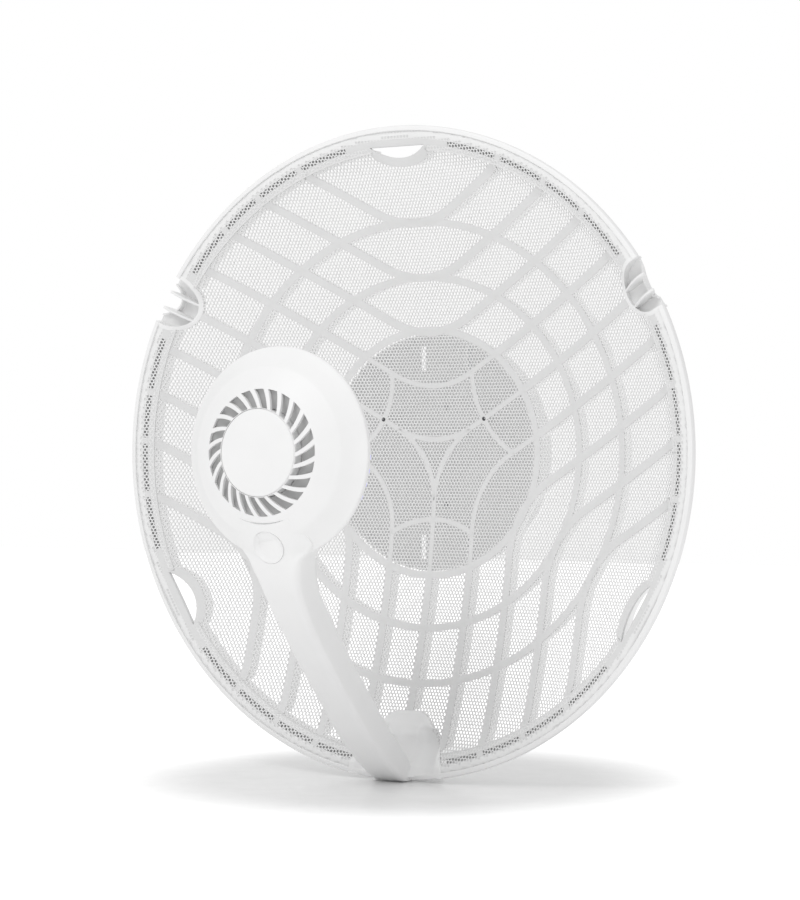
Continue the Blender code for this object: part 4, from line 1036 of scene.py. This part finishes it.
def under_foot():
    """The screws and the half-round socket below the foot plate."""
    shape = ((0.001, -7.6), (2.2, -7.6), (2.8, -7.0), (2.8, -5.6), (1.4, -5.6), (1.4, -0.9), (0.001, -0.9))
    for number in (1, 2):
        low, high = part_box("foot_screw_{}".format(number))
        x, y = (low.x + high.x) / 2, (low.z + high.z) / 2
        z = float(level(math.hypot(x, y)))
        points, faces = lathe([(r * MM, z + h * MM) for r, h in shape], 32)
        points = [(px + x, py + y, pz) for px, py, pz in points]
        screw = piece("foot_fixing_{}".format(number), points, faces, STEEL, slot="steel")
        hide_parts("foot_screw_{}".format(number))
    rings = []
    for a in np.radians(np.linspace(0.0, 180.0, 49)):
        ring = []
        for radius, z in fillet([(14.9, 18.0), (16.9, 18.0), (16.9, 33.0), (14.9, 33.0)], 0.4, 2):
            ring.append((radius * MM * math.cos(a), -0.2052 + radius * MM * math.sin(a), z * MM))
        rings.append(ring)
    parts = [loft(rings)]
    for side in (-5.8, 5.8):
        top = -205.2 + math.sqrt(15.4 ** 2 - side ** 2)
        section = [(side - 0.9, top), (side + 0.9, top), (side + 0.9, -204.0), (side - 0.9, -204.0)]
        parts.append(loft([[(x * MM, y * MM, z * MM) for x, y in section] for z in (20.0, 32.0)]))
    socket = piece("socket_under_foot", *gather(parts), WHITE)
    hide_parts("socket_bottom")


def foot():
    """Flared plate, hollow on each side of the arm, that runs out into the lip."""
    top = FOOT_TOP / MM
    rows = [top - 9.0 * t ** 1.6 for t in np.linspace(0.0, 1.0, 14)] + list(np.linspace(-174.5, -203.6, 32))
    columns = 65
    front = np.zeros((len(rows), columns, 3))
    back = np.zeros((len(rows), columns, 3))
    for i, y in enumerate(rows):
        half = float(foot_half(y * MM)) / MM
        for j, u in enumerate(np.linspace(-1.0, 1.0, columns)):
            x = half * u
            base = float(level(math.hypot(x, y) * MM)) / MM
            rise = 0.2 + 0.7 * min(1.0, (half - abs(x)) / 0.8, max(0.0, (top - y) / 1.0))
            across = max(0.0, 1.0 - ((abs(x) - 15.0) / 14.0) ** 2)
            inside = across * max(0.0, 1.0 - ((y + 188.5) / 15.5) ** 2)
            root = 6.0 * math.exp(-max(abs(x) - 11.5, 0.0) / 1.8) * min(1.0, max(0.0, (-170.0 - y) / 8.0))
            front[i, j] = (x * MM, y * MM, (base + rise - 7.0 * inside + root) * MM)
            back[i, j] = (x * MM, y * MM, (base - 1.6 - 7.4 * inside) * MM)
    solid = np.ones((len(rows) - 1, columns - 1), bool)
    shell = masked_shell(front[:, ::-1], back[:, ::-1], solid, wrap=False)
    plate = piece("foot_plate", *shell, WHITE, sharp=50.0)
    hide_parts("arm_foot")
    under_foot()


# ---- CAD nodes that stay: better surfaces and eased edges

def keep_cad():
    soft = {"hub_cup": 0.4, "arm_spine": 0.4, "tilt_bracket": 0.5, "pole_saddle": 0.6,
            "heat_sink": 0.2, "network_socket": 0.2, "shield_can": 0.4, "cover_latch": 0.2}
    slots = {row["node"]: row["material_slot"] for row in frame["record"]["subparts"]}
    for name, obj in frame["nodes"].items():
        if obj.hide_render:
            continue
        material = SLOT_MATERIALS[slots[name]]
        obj.data.materials.clear()
        obj.data.materials.append(material)
        if name in soft:
            bevel = obj.modifiers.new("eased", 'BEVEL')
            bevel.width = soft[name] * MM
            bevel.segments = 2
            bevel.limit_method = 'ANGLE'
            bevel.angle_limit = math.radians(40.0)
            bevel.harden_normals = False


# ---- stage

def area_light(name, position, target, size, power):
    data = bpy.data.lights.new(name, 'AREA')
    data.shape = 'SQUARE'
    data.size = size
    data.energy = power
    obj = bpy.data.objects.new(name, data)
    bpy.context.scene.collection.objects.link(obj)
    obj.location = position
    direction = target - obj.location
    obj.rotation_euler = direction.to_track_quat('-Z', 'Y').to_euler()
    return obj


def floor_glow_with_painted_shadow(material):
    """Makes the floor as bright as the backdrop away from the object, and paints a soft shadow pool round
    its middle where the glow fades out; less of that glow counts as light.
    """
    nodes = material.node_tree.nodes
    links = material.node_tree.links
    shader = nodes["Principled BSDF"]
    place = nodes.new('ShaderNodeTexCoord')
    length = nodes.new('ShaderNodeVectorMath')
    length.operation = 'LENGTH'
    links.new(place.outputs["Object"], length.inputs[0])
    ramp = nodes.new('ShaderNodeMapRange')
    ramp.interpolation_type = 'SMOOTHSTEP'
    ramp.inputs["From Min"].default_value = PAINTED_SHADOW_CORE
    ramp.inputs["From Max"].default_value = PAINTED_SHADOW_REACH
    ramp.inputs["To Min"].default_value = 0.0
    ramp.inputs["To Max"].default_value = GLOW
    links.new(length.outputs["Value"], ramp.inputs["Value"])
    path = nodes.new('ShaderNodeLightPath')
    seen = nodes.new('ShaderNodeMath')
    seen.operation = 'MULTIPLY'
    share = nodes.new('ShaderNodeMapRange')
    share.inputs["To Min"].default_value = GLOW_AS_LIGHT
    links.new(path.outputs["Is Camera Ray"], share.inputs["Value"])
    links.new(ramp.outputs["Result"], seen.inputs[0])
    links.new(share.outputs["Result"], seen.inputs[1])
    shader.inputs["Emission Color"].default_value = (1.0, 1.0, 1.0, 1.0)
    links.new(seen.outputs["Value"], shader.inputs["Emission Strength"])


def stage():
    scene = bpy.context.scene
    scene.view_settings.view_transform = 'Standard'
    target = DISH @ Matrix.Translation((0.0, 0.0, level(RIM))).to_translation()
    toward = Matrix.Rotation(CAMERA_AZIMUTH, 3, 'Z') @ Matrix.Identity(3).col[1] * -1.0
    right = Matrix.Rotation(CAMERA_AZIMUTH, 3, 'Z') @ Matrix.Identity(3).col[0]
    up = Matrix.Identity(3).col[2]

    data = bpy.data.cameras.new("camera")
    data.lens = CAMERA_LENS
    data.shift_x, data.shift_y = CAMERA_SHIFT
    camera = bpy.data.objects.new("camera", data)
    scene.collection.objects.link(camera)
    camera.location = target + toward * CAMERA_DISTANCE
    camera.rotation_euler = (math.radians(90.0), 0.0, CAMERA_AZIMUTH)
    scene.camera = camera

    world = bpy.data.worlds.new("studio")
    scene.world = world
    world.use_nodes = True
    nodes = world.node_tree.nodes
    links = world.node_tree.links
    sky = nodes["Background"]
    sky.inputs["Color"].default_value = (1.0, 1.0, 1.0, 1.0)
    sky.inputs["Strength"].default_value = WORLD_LIGHT
    seen = nodes.new('ShaderNodeBackground')
    seen.inputs["Color"].default_value = (1.0, 1.0, 1.0, 1.0)
    seen.inputs["Strength"].default_value = 1.0
    path = nodes.new('ShaderNodeLightPath')
    mix = nodes.new('ShaderNodeMixShader')
    links.new(path.outputs["Is Camera Ray"], mix.inputs["Fac"])
    links.new(sky.outputs["Background"], mix.inputs[1])
    links.new(seen.outputs["Background"], mix.inputs[2])
    links.new(mix.outputs["Shader"], nodes["World Output"].inputs["Surface"])

    for name, forward, aside, above, size, power in LIGHTS:
        area_light(name, target + toward * forward + right * aside + up * above, target, size, power)

    floor_mesh = bpy.data.meshes.new("floor")
    corners = [(x * FLOOR_REACH, y * FLOOR_REACH, 0.0) for x, y in ((-1, -1), (1, -1), (1, 1), (-1, 1))]
    floor_mesh.from_pydata(corners, [], [(0, 1, 2, 3)])
    floor = bpy.data.objects.new("floor", floor_mesh)
    scene.collection.objects.link(floor)
    # The floor's middle sits under the dish, to centre its painted shadow pool.
    floor.location = (0.0, target.y + 0.01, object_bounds()[0][2] - FLOOR_DROP)
    surface = plastic("floor_white", (0.86, 0.86, 0.86), 0.22, grain=60.0, bump=0.0, spread=0.002)
    floor_glow_with_painted_shadow(surface)
    floor_mesh.materials.append(surface)
    floor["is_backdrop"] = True


perforated_skin()
strips_and_ribs()
hub_screws()
rim_pieces()
head_front()
head_rear()
button(arm_cover())
foot()
keep_cad()
stage()
